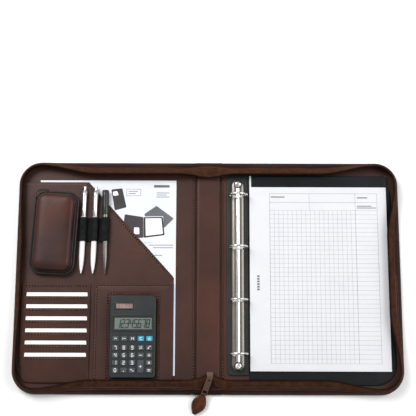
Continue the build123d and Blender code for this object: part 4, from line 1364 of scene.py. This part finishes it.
pad_pocket = panel("pad_pocket_cover", box_outline(61.6, 281.0, -163.0, 153.0, [0, 30.0, 30.0, 0], 12),
                   flat(6.0), rolled(6.2, 7.4, 1.4), LEATHERETTE, BACK, "black_leatherette",
                   (50, 60), 1.8)
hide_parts("pad_pocket")

# --------------------------------------------------------------------- notepad

PAD = (63.0, 273.0, -142.5, 154.5)
SHEETS = 12
SHEET_PITCH = 0.2833
PAD_TOP = 11.58
panel("notepad_back_card", box_outline(*PAD), flat(7.42), flat(8.15), BOARD, BACK, "board", (10, 14), 0.8)
sheets = []
for index in range(SHEETS):
    z0 = 8.2 + index * SHEET_PITCH
    slip = 0.22 * math.sin(index * 2.3)
    outline = box_outline(PAD[0] + 0.25 + slip * 0.5, PAD[1] - 0.3 + slip, PAD[2] + 0.3 - slip, PAD[3])
    sheets.append(panel(f"notepad_sheet_{index}", outline, flat(z0), flat(z0 + 0.25),
                        EDGES if index < SHEETS - 1 else PAPER, BACK, "paper", (6, 8), 0.6))
pages = join("notepad_pages", sheets[:-1])
sheets[-1].name = "notepad_top_sheet"
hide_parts("notepad")
panel("notepad_head_band", box_outline(PAD[0] + 2.6, PAD[1] - 0.2, 137.0, 154.6, 0.8, 3),
      flat(11.55), rolled(11.6, 12.1, 1.0), LEATHERETTE, BACK, "black_leatherette", (40, 12), 1.0)
# the ruling: a squared field, a ruled column beside it and a head of two rows
grid_x, grid_y, ruled_x, head_y = (94.0, 225.1), (-131.0, 101.0), 258.6, 127.0
columns, lines = 19, 34
thin, bold = 0.14, 0.2      # half widths of the lines
pitch_x = (grid_x[1] - grid_x[0]) / columns
pitch_y = (grid_y[1] - grid_y[0]) / lines
marks = []
for k in range(columns + 1):
    x = grid_x[0] + k * pitch_x
    marks.append(bar(x - thin, x + thin, grid_y[0], grid_y[1]))
for k in range(lines + 1):
    y = grid_y[0] + k * pitch_y
    marks.append(bar(grid_x[0], ruled_x, y - thin, y + thin))
for x in (grid_x[0], grid_x[1], ruled_x):
    marks.append(bar(x - bold, x + bold, grid_y[0], head_y))
marks.append(bar(154.6, 154.9, grid_y[1], head_y))
for y in (113.2, head_y):
    marks.append(bar(grid_x[0], ruled_x, y - bold, y + bold))
ink("notepad_grid", marks, PAD_TOP, PALE_INK, BACK)
words = [bar(96.0, 117.0, 120.8, 122.4), bar(228.0, 244.0, 119.8, 121.4),
         bar(227.5, 257.0, 104.2, 105.4), bar(227.5, 250.0, 107.0, 108.2)]
words += [bar(74.0, 77.6, -22.0 + 4.0 * k, -19.4 + 4.0 * k) for k in range(6)]
ink("notepad_text", words, PAD_TOP, GREY_INK, BACK)

# ---------------------------------------------------------- slider, link and tab

repaint(("zip_slider", "zip_pull_link"), BRONZE)

LINK_YAW, LINK_TILT, LINK_LENGTH = math.radians(-20.0), math.radians(10.0), 26.0
link = Matrix.Translation((3.0, -152.0, 13.9)) @ Matrix.Rotation(LINK_YAW, 4, "Z") \
    @ Matrix.Rotation(LINK_TILT, 4, "X") @ Matrix.Translation((0, -LINK_LENGTH, 0))
leaf = link @ Matrix.Rotation(math.radians(-8.0), 4, "Z") @ Matrix.Rotation(math.radians(2.0), 4, "X")
LEAF_START, LEAF_LENGTH = 2.2, 30.8


def leaf_half(share):
    """Half width of the pull tab from its neck to its blunt point."""
    return 4.2 - 1.9 * share + 7.2 * math.sin(math.pi * share) ** 0.9


rings = []
for share in np.linspace(0.0, 1.0, 34):
    along = -LEAF_START - share * LEAF_LENGTH
    half = leaf_half(share)
    thick = 1.0 if share > 0.04 else 1.25
    ring = []
    for k in range(20):
        angle = 2 * math.pi * k / 20
        x = half * math.copysign(abs(math.cos(angle)) ** 0.5, math.cos(angle))
        puff = 0.35 * (1 - (x / half) ** 2)
        z = (thick * 0.75 + puff) * math.copysign(abs(math.sin(angle)) ** 0.7, math.sin(angle))
        ring.append(leaf @ Vector((x, along, z)))
    rings.append(ring)
tab = stacked("zip_pull_leaf", rings, PULL_LEATHER, "pull_tab", "tab_leather", 60.0)
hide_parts("zip_pull_tab")
eye = []
for angle in np.linspace(0, 2 * math.pi, 25)[:-1]:
    c, s = math.cos(angle), math.sin(angle)
    eye.append([link @ Vector((x, c * radius, s * radius)) for x, radius in
                ((-2.7, 1.85), (2.7, 1.85), (2.8, 2.25), (2.5, 2.6), (-2.5, 2.6), (-2.8, 2.25))])
make("zip_pull_loop", *hoop(eye), PULL_LEATHER, "pull_tab", "tab_leather", 60.0)
edge_runs = []
for side in (-1, 1):
    run = []
    for share in np.linspace(0.1, 0.94, 26):
        half = leaf_half(share) - 1.3
        run.append(leaf @ Vector((side * half, -LEAF_START - share * LEAF_LENGTH, 0.98)))
    edge_runs.append(run)
stitches("zip_pull_stitches", edge_runs, THREAD_TAN, "pull_tab", "tab_leather", 2.2, 1.6, 0.5, 0.35)

# ------------------------------------------------------------------------ strap

strap_outline = rounded([(-272.0, -15.0), (-197.0, -15.0), (-197.0, 15.0), (-272.0, 15.0)],
                        [0, 14.9, 14.9, 0], 14)


def strap_low(x, y, d):
    """Outside face of the strap: rolled edge and a sewn line."""
    return 0.9 * turned(d, 1.3) + 0.2 * groove(d, 3.0, 0.7) + 0.02


strap = panel("strap_leather", strap_outline, strap_low, flat(1.55), OUTER, "strap",
              "outer_leather", (60, 30), 1.6)
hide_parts("closure_strap")
strap_run = rounded([(-270.0, -12.0), (-200.0, -12.0), (-200.0, 12.0), (-270.0, 12.0)],
                    [0, 11.9, 11.9, 0], 12)
outside_seam("strap_stitches", [line_at(strap_run, 0.15)], "strap")

# ------------------------------------------------------- floor, light and camera

floor_mesh = bpy.data.meshes.new("floor")
REACH, FLOOR_Z = 6.0, -0.0006      # metres
floor_mesh.from_pydata([(x, y, FLOOR_Z) for x, y in bar(-REACH, REACH, -REACH, REACH)], [],
                       [(0, 1, 2, 3)])
floor_finish = Finish("pale_floor", 0.9)
floor_finish.paint(floor_finish.ramp(floor_finish.noise(3.0),
                                     [(0.3, (0.9, 0.9, 0.9, 1)), (0.7, (0.92, 0.92, 0.92, 1))]))
floor_mesh.materials.append(floor_finish.material)
floor = bpy.data.objects.new("floor", floor_mesh)
bpy.context.collection.objects.link(floor)

# studio: bright low down, dim overhead, with a bright patch at the zenith
world = bpy.data.worlds.new("studio")
bpy.context.scene.world = world
world.use_nodes = True
sky = world.node_tree
height = sky.nodes.new("ShaderNodeSeparateXYZ")
sky.links.new(sky.nodes.new("ShaderNodeTexCoord").outputs["Generated"], height.inputs["Vector"])
shade = sky.nodes.new("ShaderNodeValToRGB")
stops = shade.color_ramp.elements
stops[0].position, stops[0].color = 0.1, (0.82, 0.82, 0.82, 1)
stops[1].position, stops[1].color = 0.88, (0.3, 0.3, 0.3, 1)
for position, value in ((0.965, 0.3), (0.98, 0.95)):
    stops.new(position).color = (value, value, value, 1)
sky.links.new(height.outputs["Z"], shade.inputs["Fac"])
sky.links.new(shade.outputs["Color"], sky.nodes["Background"].inputs["Color"])


def area_light(name, place, target, size, power):
    """Soft lamp at a place, facing its target; metres and watts."""
    data = bpy.data.lights.new(name, "AREA")
    data.shape = "RECTANGLE"
    data.size, data.size_y = size
    data.energy = power
    light = bpy.data.objects.new(name, data)
    bpy.context.collection.objects.link(light)
    light.location = place
    light.rotation_euler = (Vector(target) - Vector(place)).to_track_quat("-Z", "Y").to_euler()


area_light("key_light", (-0.9, 0.9, 1.5), (0, 0, 0), (0.9, 0.9), 30.0)
area_light("fill_light", (1.3, 0.3, 1.3), (0, 0, 0), (1.2, 1.2), 18.0)

# camera high above the case, tipped a little towards its top edge
CAMERA_AT = (-0.0006, -0.1683, 1.400)
CAMERA_TILT, CAMERA_ROLL = math.radians(11.10), math.radians(0.167)
camera_data = bpy.data.cameras.new("camera")
camera_data.sensor_width = 36.0
camera_data.lens = 79.86
camera = bpy.data.objects.new("camera", camera_data)
bpy.context.collection.objects.link(camera)
camera.matrix_world = Matrix.Translation(CAMERA_AT) @ Matrix.Rotation(CAMERA_TILT, 4, "X") \
    @ Matrix.Rotation(CAMERA_ROLL, 4, "Z")
bpy.context.scene.camera = camera
bpy.context.scene.view_settings.view_transform = "Standard"

bpy.context.view_layer.update()
